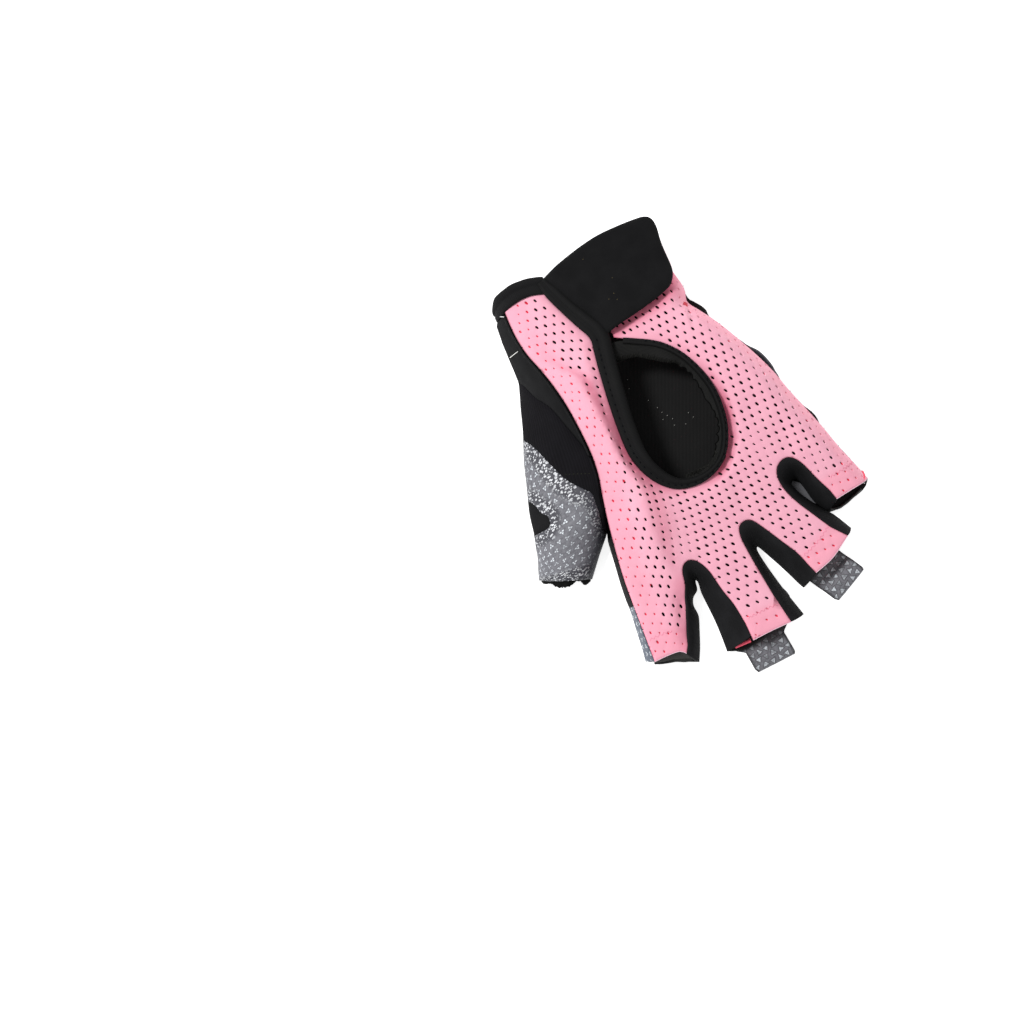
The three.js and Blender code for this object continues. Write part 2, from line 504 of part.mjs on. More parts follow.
// Pink mesh back with the finger backs, the window and the slit
function backPanel() {
  const top = BACK_SECTIONS[0].y;
  const bottom = BACK_SECTIONS[BACK_SECTIONS.length - 1].y;
  const grid = [];
  for (let i = 0; i < BACK_ROWS; i += 1) {
    const y = lerp(top, bottom, i / (BACK_ROWS - 1));
    const left = columnAt(BACK_SECTIONS, y, 'thumbEdge');
    const right = columnAt(BACK_SECTIONS, y, 'pinkieEdge');
    grid.push(BACK_COLUMNS.map((u) => {
      const x = lerp(left, right, u);
      return new THREE.Vector3(x, y, backZ(x, y));
    }));
  }
  const fingerEnds = [...INDEX_HEM, ...FORK_INDEX_MIDDLE, ...MIDDLE_HEM, ...FORK_MIDDLE_RING, ...RING_HEM,
    ...FORK_RING_PINKIE, ...PINKIE_HEM, [70, -100], [-60, -100]];
  const window = [[-14.2, 80], ...WINDOW_EDGE.map(({ x, y }) => [x, y]), ...SLIT_EDGE];
  const raised = CUFF_STATIONS.filter(({ z }) => z > FOOT_Z);
  const cuffLine = raised.map(({ x, fingerEdge }) => [x, fingerEdge - SEAM_GAP]);
  const thumbLine = cuffLine.slice(0, CUFF_THUMB_STATIONS).reverse();
  const pinkieLine = cuffLine.slice(CUFF_THUMB_STATIONS).reverse();
  const wristEnd = [[-40, 67.6], ...thumbLine, ...pinkieLine, [40, 66.7], [40, 90], [-40, 90]];
  return toGeometry(cut(toManifold(sheet(grid, MESH_WALL)), fingerEnds, window, wristEnd));
}

// Skin of the whole thumb side, from which its panels are cut
function thumbSkin() {
  const grid = THUMB_RIBS.map((rib) => {
    const innerZ = rib.innerZ ?? backZ(rib.innerX, rib.innerY) - LAP_DROP;
    const row = [];
    for (let j = THUMB_RIB_SPLITS; j >= 0; j -= 1) {
      const w = (1 - Math.cos(Math.PI * j / THUMB_RIB_SPLITS)) / 2;
      const x = lerp(rib.innerX, rib.outerX, w);
      const y = lerp(rib.innerY, rib.outerY, w);
      const z = lerp(innerZ, FOOT_Z, w) + rib.arch * (4 * w * (1 - w)) ** ARCH_POWER;
      row.push(new THREE.Vector3(x, y, z));
    }
    return row;
  });
  return toManifold(sheet(grid, STRETCH_WALL));
}

function sidePanel(skin) {
  const outline = [...GUSSET_SEAM, [-10, 2], [-10, 68.2], [-28.6, 68.2], [-31, 67.7], [-40, 67.7]];
  return toGeometry(cut(keep(skin, outline), seamCut(GUSSET_SEAM)));
}

function thumbGusset(skin) {
  const outline = [...GUSSET_SEAM, [-26, -30], ...PATCH_SEAM.slice().reverse(), [-60, 40]];
  return toGeometry(cut(keep(skin, outline), seamCut(GUSSET_SEAM), seamCut(PATCH_SEAM)));
}

function thumbPatch(skin) {
  const outline = [...PATCH_SEAM, [-50, -50], [-80, -30], [-80, 30]];
  return toGeometry(cut(keep(skin, outline), seamCut(PATCH_SEAM), THUMB_NOTCH, seamCut(THUMB_NOTCH)));
}

function thumbBackPanel(skin) {
  return toGeometry(cut(keep(skin, THUMB_NOTCH), seamCut(THUMB_NOTCH)));
}

// Lining that stands out of the thumb's end, with an uneven edge
function thumbLiner() {
  const end = THUMB_RIBS[THUMB_RIBS.length - 1];
  const inner = new THREE.Vector2(end.innerX, end.innerY);
  const outer = new THREE.Vector2(end.outerX, end.outerY);
  const out = new THREE.Vector2(inner.y - outer.y, outer.x - inner.x).normalize();
  const steps = [-LINER_INSIDE, 0, LINER_OUTSIDE];
  const grid = steps.map((step, i) => {
    const row = [];
    for (let j = 0; j <= LINER_SPLITS; j += 1) {
      const v = j / LINER_SPLITS;
      const w = lerp(LINER_MARGIN, 1 - LINER_MARGIN, v);
      const fray = i === 2 && j % 2 === 1 ? LINER_FRAY : 0;
      const place = outer.clone().lerp(inner, w).addScaledVector(out, step - fray);
      const z = FOOT_Z + (end.arch - LINER_DROP) * (4 * v * (1 - v)) ** ARCH_POWER;
      row.push(new THREE.Vector3(place.x, place.y, z));
    }
    return row;
  });
  return sheet(grid, FACING_WALL);
}

// Wall between two fingers, or on the outer side of one
function wallGrid(ribs) {
  return ribs.map(({ upX, upY, lowX, lowY }) => {
    const upZ = backZ(upX, upY) - LAP_DROP;
    const row = [];
    for (let j = WALL_SPLITS; j >= 0; j -= 1) {
      const w = j / WALL_SPLITS;
      const z = upZ - (upZ - FOOT_Z) * w ** WALL_BULGE;
      row.push(new THREE.Vector3(lerp(upX, lowX, w), lerp(upY, lowY, w), z));
    }
    return row;
  });
}

function indexSideWall(skin) {
  const outline = [...INDEX_GRIP_SEAM, [-20, 0], [-60, 0]];
  return toGeometry(cut(keep(skin, outline), seamCut(INDEX_GRIP_SEAM)));
}

function indexSideGrip(skin) {
  const outline = [...INDEX_GRIP_SEAM, [-20, -90], [-60, -90]];
  return toGeometry(cut(keep(skin, outline), seamCut(INDEX_GRIP_SEAM)));
}

// Binding roll that edges the slit and the window
function openingBinding() {
  const squarish = (value) => Math.sign(value) * Math.abs(value) ** BINDING_SQUARENESS;
  const rings = WINDOW_EDGE.map((station, i) => {
    const before = WINDOW_EDGE[Math.max(i - 1, 0)];
    const after = WINDOW_EDGE[Math.min(i + 1, WINDOW_EDGE.length - 1)];
    const inward = new THREE.Vector2(before.y - after.y, after.x - before.x).normalize();
    const half = station.width / 2;
    const base = backZ(station.x, station.y) + station.rise - BINDING_HALF_HEIGHT / 2;
    const ring = [];
    for (let j = 0; j < BINDING_SPLITS; j += 1) {
      const angle = 2 * Math.PI * j / BINDING_SPLITS;
      const reach = half * (1 + squarish(Math.cos(angle))) + SEAM_GAP;
      const z = base + BINDING_HALF_HEIGHT * squarish(Math.sin(angle));
      ring.push(new THREE.Vector3(station.x + inward.x * reach, station.y + inward.y * reach, z));
    }
    return ring;
  });
  return tubeOfRings(rings);
}

// Facing under the rim of the window, sagging into it
function openingFacing() {
  const grid = FACING_RIBS.map(({ outerX, outerY, innerX, innerY }, i) => {
    const wave = FACING_WAVE * (i % 2 ? 1 : -1);
    const edgeZ = backZ(outerX, outerY) - FACING_DROP;
    return FACING_COLUMNS.map((w) => {
      const x = lerp(outerX, innerX, w);
      const y = lerp(outerY, innerY, w);
      return new THREE.Vector3(x, y, edgeZ - FACING_SAG * w * w + wave * w);
    });
  });
  return sheet(grid, FACING_WALL);
}

// Wrist strap lying over the slit
function wristStrap() {
  const grid = STRAP_GRID_Y.map((y) => STRAP_GRID_X.map((x) => {
    const flat = columnAt(BACK_SECTIONS, y, 'crown') + STRAP_LIFT + STRAP_THICKNESS;
    return new THREE.Vector3(x, y, flat - STRAP_DROOP * Math.max(0, x - STRAP_FLAT_UNTIL) ** 2);
  }));
  const outline = [...STRAP_ROOT, ...STRAP_WRIST_EDGE, ...STRAP_FREE_END, ...STRAP_FINGER_EDGE];
  return toGeometry(keep(toManifold(sheet(grid, STRAP_THICKNESS)), outline));
}

// Band round the wrist mouth
function cuffBinding() {
  const rings = CUFF_STATIONS.map((station, i) => {
    const before = CUFF_STATIONS[Math.max(i - 1, 0)];
    const after = CUFF_STATIONS[Math.min(i + 1, CUFF_STATIONS.length - 1)];
    const inward = new THREE.Vector2(before.z - after.z, after.x - before.x).normalize();
    const innerX = station.x + inward.x * BAND_THICKNESS;
    const innerZ = station.z + inward.y * BAND_THICKNESS;
    return [
      [station.x, station.fingerEdge, station.z],
      [station.x, station.wristEdge - CUFF_BEVEL, station.z],
      [(station.x + innerX) / 2, station.wristEdge, (station.z + innerZ) / 2],
      [innerX, station.wristEdge - CUFF_BEVEL, innerZ],
      [innerX, station.fingerEdge, innerZ],
    ].map(([x, y, z]) => new THREE.Vector3(x, y, z));
  });
  return tubeOfRings(rings);
}

const low = (ribs) => ribs.map(({ lowX, lowY }) => [lowX, lowY]);

// Palm panel: a flat sheet under the whole glove
function palmPanel() {
  const thumbSide = THUMB_RIBS.slice(1).map(({ outerX, outerY }) => [outerX, outerY]);
  const thumbEnd = THUMB_RIBS.slice(-THUMB_FREE_RIBS).map(({ innerX, innerY }) => [innerX, innerY]);
  const outline = [...thumbSide, ...thumbEnd.reverse(), ...low(INDEX_SIDE), ...low(WALL_INDEX_MIDDLE),
    ...MIDDLE_END, ...low(WALL_MIDDLE_RING), ...low(WALL_RING_PINKIE).slice(0, -1), ...PINKIE_END,
    ...PINKIE_SIDE, ...CUFF_SIDE];
  return prism(outline, PALM_Z, PALM_Z + PALM_WALL);
}

// Pull tab: a folded loop that starts under the fingertip
function pullTab({ root, free, loop }) {
  const [rootLeft, rootRight] = root.map(([x, y]) => new THREE.Vector2(x, y));
  const [freeLeft, freeRight] = free.map(([x, y]) => new THREE.Vector2(x, y));
  const outer = [];
  for (let i = 0; i <= TAB_ROWS; i += 1) {
    const t = i / TAB_ROWS;
    const open = smoothstep(t, ...TAB_OPENS);
    const left = rootLeft.clone().lerp(freeLeft, t);
    const right = rootRight.clone().lerp(freeRight, t);
    const row = [];
    for (let j = 0; j <= TAB_COLUMNS; j += 1) {
      const w = j / TAB_COLUMNS;
      const place = left.clone().lerp(right, w);
      const z = lerp(TAB_ROOT_TOP, loop, open) - TAB_EDGE_DROP * (2 * w - 1) ** 2 * open;
      row.push(new THREE.Vector3(place.x, place.y, z));
    }
    outer.push(row);
  }
  const under = ({ x, y, z }) => new THREE.Vector3(x, y, Math.max(z - TAB_THICKNESS, 0));
  return closedGrid(outer, outer.map((row) => row.map(under)));
}

const glove = new THREE.Group();
glove.add(part('back_panel', backPanel(), PINK_MESH));
glove.add(part('opening_binding', openingBinding(), BLACK_BINDING));
glove.add(part('opening_facing', openingFacing(), BLACK_STRETCH));
glove.add(part('wrist_strap', wristStrap(), BLACK_STRETCH));
glove.add(part('cuff_binding', cuffBinding(), BLACK_BINDING));

const skin = thumbSkin();
glove.add(part('side_panel', sidePanel(skin), BLACK_STRETCH));
glove.add(part('thumb_gusset', thumbGusset(skin), BLACK_RIB));
glove.add(part('thumb_patch', thumbPatch(skin), GRAY_LEATHER));
glove.add(part('thumb_back_panel', thumbBackPanel(skin), BLACK_STRETCH));
glove.add(part('thumb_liner', thumbLiner(), BLACK_STRETCH));

const indexSkin = toManifold(sheet(wallGrid(INDEX_SIDE), STRETCH_WALL));
glove.add(part('index_side_wall', indexSideWall(indexSkin), BLACK_STRETCH));
glove.add(part('index_side_grip', indexSideGrip(indexSkin), GRAY_LEATHER));
glove.add(part('fourchette_index_middle', sheet(wallGrid(WALL_INDEX_MIDDLE), STRETCH_WALL), BLACK_STRETCH));
glove.add(part('fourchette_middle_ring', sheet(wallGrid(WALL_MIDDLE_RING), STRETCH_WALL), BLACK_STRETCH));
glove.add(part('fourchette_ring_pinkie', sheet(wallGrid(WALL_RING_PINKIE), STRETCH_WALL), BLACK_STRETCH));

glove.add(part('palm_panel', palmPanel(), BLACK_STRETCH));
glove.add(part('palm_grip', prism(PALM_PAD, 0, GRIP_THICKNESS), GRAY_LEATHER));
glove.add(part('heel_grip', prism(HEEL_PAD, 0, GRIP_THICKNESS), GRAY_LEATHER));
for (const [name, outline] of Object.entries(FINGER_PADS)) {
  glove.add(part(name, prism(outline, 0, GRIP_THICKNESS), GRAY_LEATHER));
}
for (const [name, tab] of Object.entries(TABS)) {
  glove.add(part(name, pullTab(tab), GRAY_LEATHER));
}

export default glove;
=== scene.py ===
"""Looks of a half-finger fitness glove that lies palm down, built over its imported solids.

Tables are in millimetres and meshes in metres. +Z is up, +Y runs to the wrist, the fingers point to -Y
and the thumb lies on the -X side.
"""

import logging
import math
import random
from collections.abc import Callable, Iterable, Mapping, Sequence
from dataclasses import dataclass, field
from enum import Enum
from typing import Any

import bmesh
import bpy
import numpy as np
from mathutils import Matrix, Vector, geometry, kdtree, noise


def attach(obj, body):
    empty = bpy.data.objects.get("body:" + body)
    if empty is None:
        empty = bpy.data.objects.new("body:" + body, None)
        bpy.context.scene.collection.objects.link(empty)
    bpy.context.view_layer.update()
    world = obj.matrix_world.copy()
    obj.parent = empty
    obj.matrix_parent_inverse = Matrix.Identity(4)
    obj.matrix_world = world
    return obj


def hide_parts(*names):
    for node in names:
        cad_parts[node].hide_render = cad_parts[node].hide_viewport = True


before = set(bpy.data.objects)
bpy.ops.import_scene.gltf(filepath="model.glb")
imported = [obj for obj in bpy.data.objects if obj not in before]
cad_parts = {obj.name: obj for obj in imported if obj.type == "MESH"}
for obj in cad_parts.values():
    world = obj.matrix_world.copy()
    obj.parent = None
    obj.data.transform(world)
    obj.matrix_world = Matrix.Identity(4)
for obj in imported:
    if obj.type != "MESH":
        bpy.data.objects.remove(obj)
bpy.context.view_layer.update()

MM = 0.001
SEED = 7
ROW = 0.866  # height of a triangle with equal sides over its side
STEP = 1.2  # steps of the back's outlines in millimetres
HEMS = ("index_hem", "middle_hem", "ring_hem", "pinkie_hem")
LOG = logging.getLogger("glove")

Point = tuple[float, float]
PlanValue = Callable[[float, float, float], float]  # of x, y and the distance to the edge
Place = Callable[[float, float], Vector]

# Back of the glove: y, thumb-side edge, its height, crown, width of the fall at the pinkie side, its edge
BACK_SECTIONS = (
    (76, -28.6, 11.0, 15.3, 9, 31.4), (60, -30.6, 12.5, 17.0, 9, 32.0), (52, -30.3, 13.8, 18.2, 9, 32.5),
    (45, -29.0, 15.2, 19.4, 9, 32.7), (40.5, -28.3, 16.2, 20.1, 9, 31.3), (36, -27.8, 16.9, 20.6, 9, 33.4),
    (29, -27.4, 17.5, 21.0, 9.5, 37.0), (20, -27.6, 17.7, 21.2, 10, 40.5),
    (10, -28.3, 17.3, 21.0, 10.5, 43.9), (2, -29.8, 16.8, 20.7, 10.5, 46.0),
    (-6, -32.5, 15.7, 20.0, 10.5, 47.4), (-14, -35.0, 14.6, 19.0, 10, 49.2),
    (-24, -37.7, 13.4, 17.6, 9, 51.3), (-34, -40.1, 12.2, 15.9, 8, 53.0), (-44, -41.9, 11.2, 14.2, 7, 55.3),
    (-54, -43.5, 10.5, 13.0, 6.5, 57.0), (-68, -45.7, 9.8, 12.0, 6.5, 58.0),
    (-84, -48.0, 9.4, 11.3, 6.5, 58.5),
)
# Fold beside the window: y, place of its ridge, height, width of its steep flank
FOLD_RIDGE = (
    (60, -29.0, 0.0, 2.4), (50, -27.5, 0.6, 2.4), (43, -24.6, 1.3, 2.4), (38.3, -21.2, 2.2, 2.4),
    (34.6, -19.6, 2.9, 2.6), (28.8, -19.4, 3.2, 3.0), (21.1, -19.8, 3.2, 2.9), (13.3, -19.9, 3.1, 2.6),
    (4, -20.5, 3.0, 2.5), (-8.1, -19.7, 2.9, 4.0), (-15, -20.8, 2.9, 5.6), (-20.8, -22.3, 2.7, 5.6),
    (-28, -23.5, 2.3, 4.8), (-33.6, -24.4, 1.7, 3.8), (-40, -24.8, 1.1, 3.0), (-52, -25.0, 0.0, 2.6),
)
# Line between the holes of the middle and those of the thumb side: y, x
HOLES_SPLIT = ((56, -25.0), (40, -23.0), (20, -21.0), (0, -21.0), (-22, -22.5), (-48, -24.0))

# Ribs of the thumb side: inner end, outer end, arch and the inner end's height where it is free
THUMB_RIBS = (
    (-29.2, 72.0, -33.4, 72.0, 1.0, None), (-30.4, 62.0, -35.3, 62.0, 1.4, None),
    (-30.4, 53.0, -36.5, 53.0, 1.8, None), (-29.0, 45.0, -37.6, 45.5, 2.4, None),
    (-27.9, 37.0, -41.4, 37.5, 2.8, None), (-27.4, 29.0, -45.2, 29.2, 3.0, None),
    (-27.6, 20.0, -50.1, 20.0, 3.0, None), (-28.2, 11.0, -54.1, 11.0, 3.0, None),
    (-29.8, 2.0, -58.1, 2.0, 3.4, None), (-32.2, -5.0, -60.3, -5.0, 4.2, None),
    (-33.8, -10.0, -62.3, -10.0, 5.0, None), (-35.0, -14.0, -63.8, -14.0, 6.8, 9.5),
    (-37.0, -18.6, -65.5, -17.2, 8.4, 4.4), (-43.0, -23.8, -66.7, -19.7, 8.5, 3.6),
    (-50.1, -30.4, -67.3, -21.1, 8.2, 3.6),
)
GUSSET_SEAM = ((-40, 46.5), (-37.3, 44.6), (-35.6, 37.4), (-32.8, 31.3), (-31, 21.5), (-29.1, 11.8),
               (-28.2, 6), (-26, 2))
PATCH_SEAM = ((-50, 30), (-46.7, 26.3), (-44.8, 21.8), (-42.9, 13.8), (-40.6, 6), (-37.6, 1.1), (-35.1, -2.8),
              (-35.4, -6), (-36.4, -12), (-37.4, -17), (-35, -21))
THUMB_NOTCH = ((-62, 6), (-56.1, 5.6), (-54.6, 0.1), (-53.2, -1.9), (-53.7, -4.8), (-56.1, -5.8), (-66, -5.6))

# Hems of the fingers. The forks between them are the upper ends of the walls
INDEX_HEM = ((-45.6, -67.3), (-41, -67.5), (-36, -68.3), (-34.1, -70.2))
MIDDLE_HEM = ((-10.8, -78.1), (-3, -78.5), (4.5, -79.3))
RING_HEM = ((21.1, -68.3), (29, -66.6), (37.7, -62.4))
PINKIE_HEM = ((40.6, -48.7), (50, -48.4), (56.3, -48.8))

# Window and slit: x, y, width of the binding, its rise above the mesh, dip of the mesh beside it
WINDOW_EDGE = (
    (-14.2, 72.0, 3.6, 2.1, 0.2), (-14.0, 67.0, 5.4, 2.1, 0.2), (-12.1, 59.3, 5.6, 2.1, 0.2),
    (-9.8, 51.5, 6.2, 2.1, 0.2), (-8.0, 45.4, 6.6, 1.9, 0.3), (-9.3, 40.0, 6.8, 1.2, 0.7),
    (-11.0, 33.9, 6.8, 0.7, 0.7), (-13.5, 23.3, 6.6, 0.5, 1.2), (-15.4, 13.7, 6.4, 0.5, 1.7),
    (-16.6, 5.0, 6.2, 0.5, 2.0), (-16.6, 0.0, 5.9, 0.5, 1.9), (-15.5, -5.6, 5.5, 0.5, 1.7),
    (-12.9, -11.2, 5.0, 0.4, 1.4), (-9.0, -15.6, 4.2, 0.4, 0.9), (-4.0, -18.1, 3.5, 0.4, 0.6),
    (1.8, -18.9, 3.0, 0.4, 1.0), (7.4, -17.9, 2.5, 0.4, 2.2), (12.1, -15.3, 2.3, 0.4, 3.2),
    (16.1, -10.6, 2.2, 0.4, 3.4), (19.4, -3.6, 2.2, 0.4, 2.9), (21.1, 5.0, 2.2, 0.4, 1.8),
    (21.0, 12.0, 2.2, 0.4, 1.0), (19.4, 19.5, 2.2, 0.4, 0.6), (16.6, 26.3, 2.1, 0.4, 0.4),
    (11.8, 32.5, 2.0, 0.4, 0.3), (4.6, 37.9, 2.0, 0.4, 0.3), (2.0, 39.6, 2.0, 0.4, 0.3),
)
# Slit, from the window to the wrist
SLIT_EDGE = ((-0.6, 41.6), (-0.5, 44.2), (-2.9, 51.8), (-6.4, 62), (-8.2, 66.7))
# Facing of the window: rim end x and y, inner end x and y
FACING_RIBS = (
    (-6.5, -19.6, -2.5, -14.2), (1.7, -21.3, 2.4, -15.2), (8.2, -20.2, 6.8, -14.6),
    (13.6, -17.3, 10.8, -12.4), (17.9, -11.8, 13.6, -8.8), (21.2, -4, 16.2, -3.6), (22.9, 5, 17.6, 3.4),
    (22.8, 12.2, 17.8, 10.6), (21.1, 20.2, 16, 17.4), (18.1, 27.4, 13, 23.4), (13, 34, 8.9, 27.8),
    (5.6, 39.5, 3.4, 31.6), (1.8, 42, -2.2, 33.4), (-3.0, 43.6, -6.6, 34.8),
)
# Strap: its edge along the slit, then its wrist edge, free end and finger edge back to the slit
STRAP_OUTLINE = (
    ((-3.2, 43.6), (-5.2, 51.4), (-8.2, 58.5), (-11, 65.5), (-13.4, 71.9)),
    ((-12.8, 72.4), (-8.8, 73.4), (-4.3, 74.5), (4.3, 75.8), (12.2, 76.3), (19.8, 75.8), (27.5, 74.9),
     (31, 74.1), (32.8, 72.5), (33.1, 69), (31.4, 62.4), (30.2, 54), (28.9, 50.5), (26.4, 47.9),
     (23.9, 46.9), (18.5, 45.8), (10.2, 44.9), (1.8, 44.3), (-2.6, 43.6)),
)
# Band round the wrist mouth: x, z, y of its finger edge, y of its wrist edge
CUFF_STATIONS = (
    (-11.6, 17.0, 66.4, 73.6), (-13.4, 16.9, 67.4, 74.5), (-16.6, 16.6, 69.0, 75.8),
    (-19.6, 16.1, 70.0, 76.5), (-23.0, 15.2, 70.5, 77.1), (-26.0, 14.0, 70.4, 77.0),
    (-28.6, 12.3, 70.0, 76.8), (-30.7, 10.2, 69.4, 76.4), (-32.3, 7.4, 69.2, 74.9),
    (-33.2, 4.6, 68.6, 73.4), (-32.6, 1.4, 68.3, 73.0), (-29.6, 0.0, 67.6, 73.0), (-10.0, 0.0, 67.0, 73.0),
    (10.0, 0.0, 67.0, 73.0), (27.8, 0.0, 67.0, 73.0), (31.0, 1.4, 67.0, 72.8), (32.2, 4.2, 67.0, 72.6),
    (30.8, 7.6, 67.0, 72.6), (27.4, 11.2, 67.0, 72.8), (21.5, 14.4, 67.0, 72.8), (12.0, 15.8, 67.0, 72.8),
    (-2.0, 15.9, 67.0, 72.8),
)

# Walls between and beside the fingers: upper end x, y and lower end x, y
WALL_INDEX_MIDDLE = (
    (-34.1, -70.2, -31.2, -76.5), (-32.1, -68.0, -28.4, -72.2), (-29.7, -63.0, -25.1, -66.1),
    (-26.8, -57.6, -22.9, -61.6), (-24.0, -51.6, -22.6, -57.4), (-22.1, -47.6, -21.2, -54.8),
    (-21.1, -44.2, -18.6, -53.2), (-19.6, -41.8, -17.9, -51.0), (-17.2, -41.0, -17.3, -49.7),
    (-15.2, -42.0, -16.9, -50.5), (-13.6, -44.2, -17.2, -52.2), (-12.2, -48.7, -17.8, -54.6),
    (-11.5, -56.5, -18.2, -60.0), (-10.4, -63.5, -18.6, -66.0), (-10.2, -71.3, -19.4, -72.4),
    (-10.6, -76.5, -20.4, -78.3),
)
WALL_MIDDLE_RING = (
    (4.5, -79.3, 10.9, -80.4), (3.7, -68.3, 9.2, -69.4), (3.5, -58.6, 8.2, -60.4), (3.4, -48.7, 7.8, -54.4),
    (3.7, -43.0, 7.8, -52.0), (5.0, -39.7, 8.0, -50.9), (7.1, -38.8, 8.5, -50.4), (9.2, -39.3, 9.0, -51.2),
    (10.9, -41.2, 9.6, -52.8), (13.5, -46.6, 10.8, -56.4), (16.1, -52.6, 12.4, -61.2),
    (18.7, -58.6, 13.9, -66.2), (20.1, -64.4, 14.9, -69.8), (21.1, -68.3, 15.7, -72.0),
)
WALL_RING_PINKIE = (
    (37.7, -62.4, 41.8, -61.6), (33.8, -56.6, 39.4, -55.4), (30.7, -49.7, 37.6, -52.0),
    (27.6, -42.7, 35.3, -48.0), (25.7, -36.5, 32.4, -42.2), (25.6, -31.0, 31.0, -37.6),
    (27.4, -27.6, 31.4, -36.4), (30.1, -26.4, 32.2, -36.0), (32.6, -26.8, 33.2, -36.6),
    (34.5, -28.7, 33.8, -38.6), (36.1, -32.1, 34.1, -41.6), (38.0, -38.9, 34.6, -46.6),
    (40.0, -44.9, 36.6, -51.2), (40.6, -48.7, 37.8, -52.1),
)
INDEX_SIDE = (
    (-36.4, -19.4, -38.2, -21.4), (-37.7, -24.0, -39.3, -26.0), (-39.1, -29.6, -40.6, -31.4),
    (-40.5, -36.0, -42.0, -37.2), (-41.7, -42.6, -43.2, -43.2), (-42.5, -47.6, -43.9, -48.0),
    (-43.8, -55.0, -45.6, -55.4), (-45.0, -62.4, -47.1, -62.3), (-45.6, -67.3, -48.3, -66.4),
)
MIDDLE_END = ((-17, -80), (-14, -81.0), (-6, -80.4), (2.4, -80.0))
PINKIE_END = ((37.6, -52.6), (42, -53.2), (52.6, -51.8), (56.2, -49.2))
PINKIE_SIDE = ((54.9, -42), (53.2, -34.5), (50.9, -26.6), (51.2, -19), (48.7, -12.5), (46.7, -6), (46.4, 0),
               (45, 8), (42.6, 15.4), (38.2, 24.7), (35.6, 30.6), (35.8, 34.4), (34.9, 37), (33.2, 39.8),
               (32.1, 42.2), (31.8, 50), (31.4, 66.4))
# Corners of the leather pads under the palm, the thumb and the fingers
GRIP_PADS = {
    "palm_grip": ((-30, -2), (-33, -16), (-36, -30), (-22, -42), (0, -46), (16, -44), (26, -34), (46, -36),
                  (48, -22), (44, -8), (24, -6), (4, 6), (-16, 8)),
    "heel_grip": ((10, 10), (26, -1), (45, -2), (47, 2.5), (46.8, 7), (45.4, 12), (42.4, 16.5), (37, 27),
                  (33, 38), (30, 56), (12, 58), (6, 34)),
    "thumb_grip": ((-47, 24), (-52, 12), (-57, 0), (-61.5, -12), (-64.5, -20.5), (-51, -28.6), (-44, -22.4),
                   (-38.6, -14), (-36.5, -4), (-36, 20)),
    "index_grip": ((-40.5, -46), (-27, -48), (-24.6, -58), (-29.4, -68.5), (-33.5, -71.5), (-44.5, -66.5)),
    "middle_grip": ((-15, -51), (5, -51), (7, -62), (8.5, -74.5), (-17.5, -74.5), (-16, -62)),
    "ring_grip": ((11.5, -50), (27, -42), (36, -56.5), (38.4, -61), (33.6, -62.4), (18.4, -67.6), (14, -60)),
    "pinkie_grip": ((30.6, -34.6), (38.5, -36), (52.5, -38), (54.6, -48), (41.5, -50.5), (34, -48)),
}

# Places of the mesh's holes: polynomials of the column and row number over 20, which a fitting program
# matched to the holes in the photograph. Power of the column, power of the row, x, y
HOLES_BODY = (
    (0, 0, 33.47, 4.57), (0, 1, 13.5, 60.02), (0, 2, 11.66, -2.35), (0, 3, 6.58, -1.24),
    (0, 4, -2.55, -1.93), (1, 0, 62.01, -6.86), (1, 1, 6.68, -12.03), (1, 2, 7.18, -7.45),
    (1, 3, -3.85, 2.34), (2, 0, 1.87, -18.86), (2, 1, 7.58, -9.12), (2, 2, -1.28, 4.58),
    (3, 0, -5.49, -14.44), (3, 1, -0.63, 4.02), (4, 0, 1.55, 3.61),
)
HOLES_STRIP = (
    (0, 0, -18.17, 53.6), (0, 1, 31.81, 55.65), (0, 2, -2.41, 6.68), (1, 0, 57.36, -25.53),
    (1, 1, 26.06, -1.87), (2, 0, 3.08, -23.14),
)
HOLES_INDEX = (
    (0, 0, -31.8, -31.24), (0, 1, 44.31, 54.78), (0, 2, -11.1, 0.65), (0, 3, -6.91, -3.42),
    (1, 0, 55.3, -29.89), (1, 1, -26.52, -6.19), (1, 2, -5.2, -2.5), (2, 0, -23.25, -11.85),
    (2, 1, 5.35, 1.41), (3, 0, -6.05, 1.25),
)


def lerp(a: float, b: float, t: float) -> float:
    """The value a share t of the way from a to b."""
    return a + (b - a) * t


def smoothstep(value: float, low: float, high: float) -> float:
    """A smooth rise from 0 at low to 1 at high."""
    t = min(max((value - low) / (high - low), 0.0), 1.0)
    return t * t * (3 - 2 * t)


def linear(red: int, green: int, blue: int) -> tuple[float, float, float, float]:
    """Scene-linear colour of a screen colour.

    Args:
        red, green, blue: from 0 to 255.

    Returns:
        The colour with alpha 1.
    """
    shares = [c / 255 for c in (red, green, blue)]
    bent = [c / 12.92 if c <= 0.04045 else ((c + 0.055) / 1.055) ** 2.4 for c in shares]
    return bent[0], bent[1], bent[2], 1.0


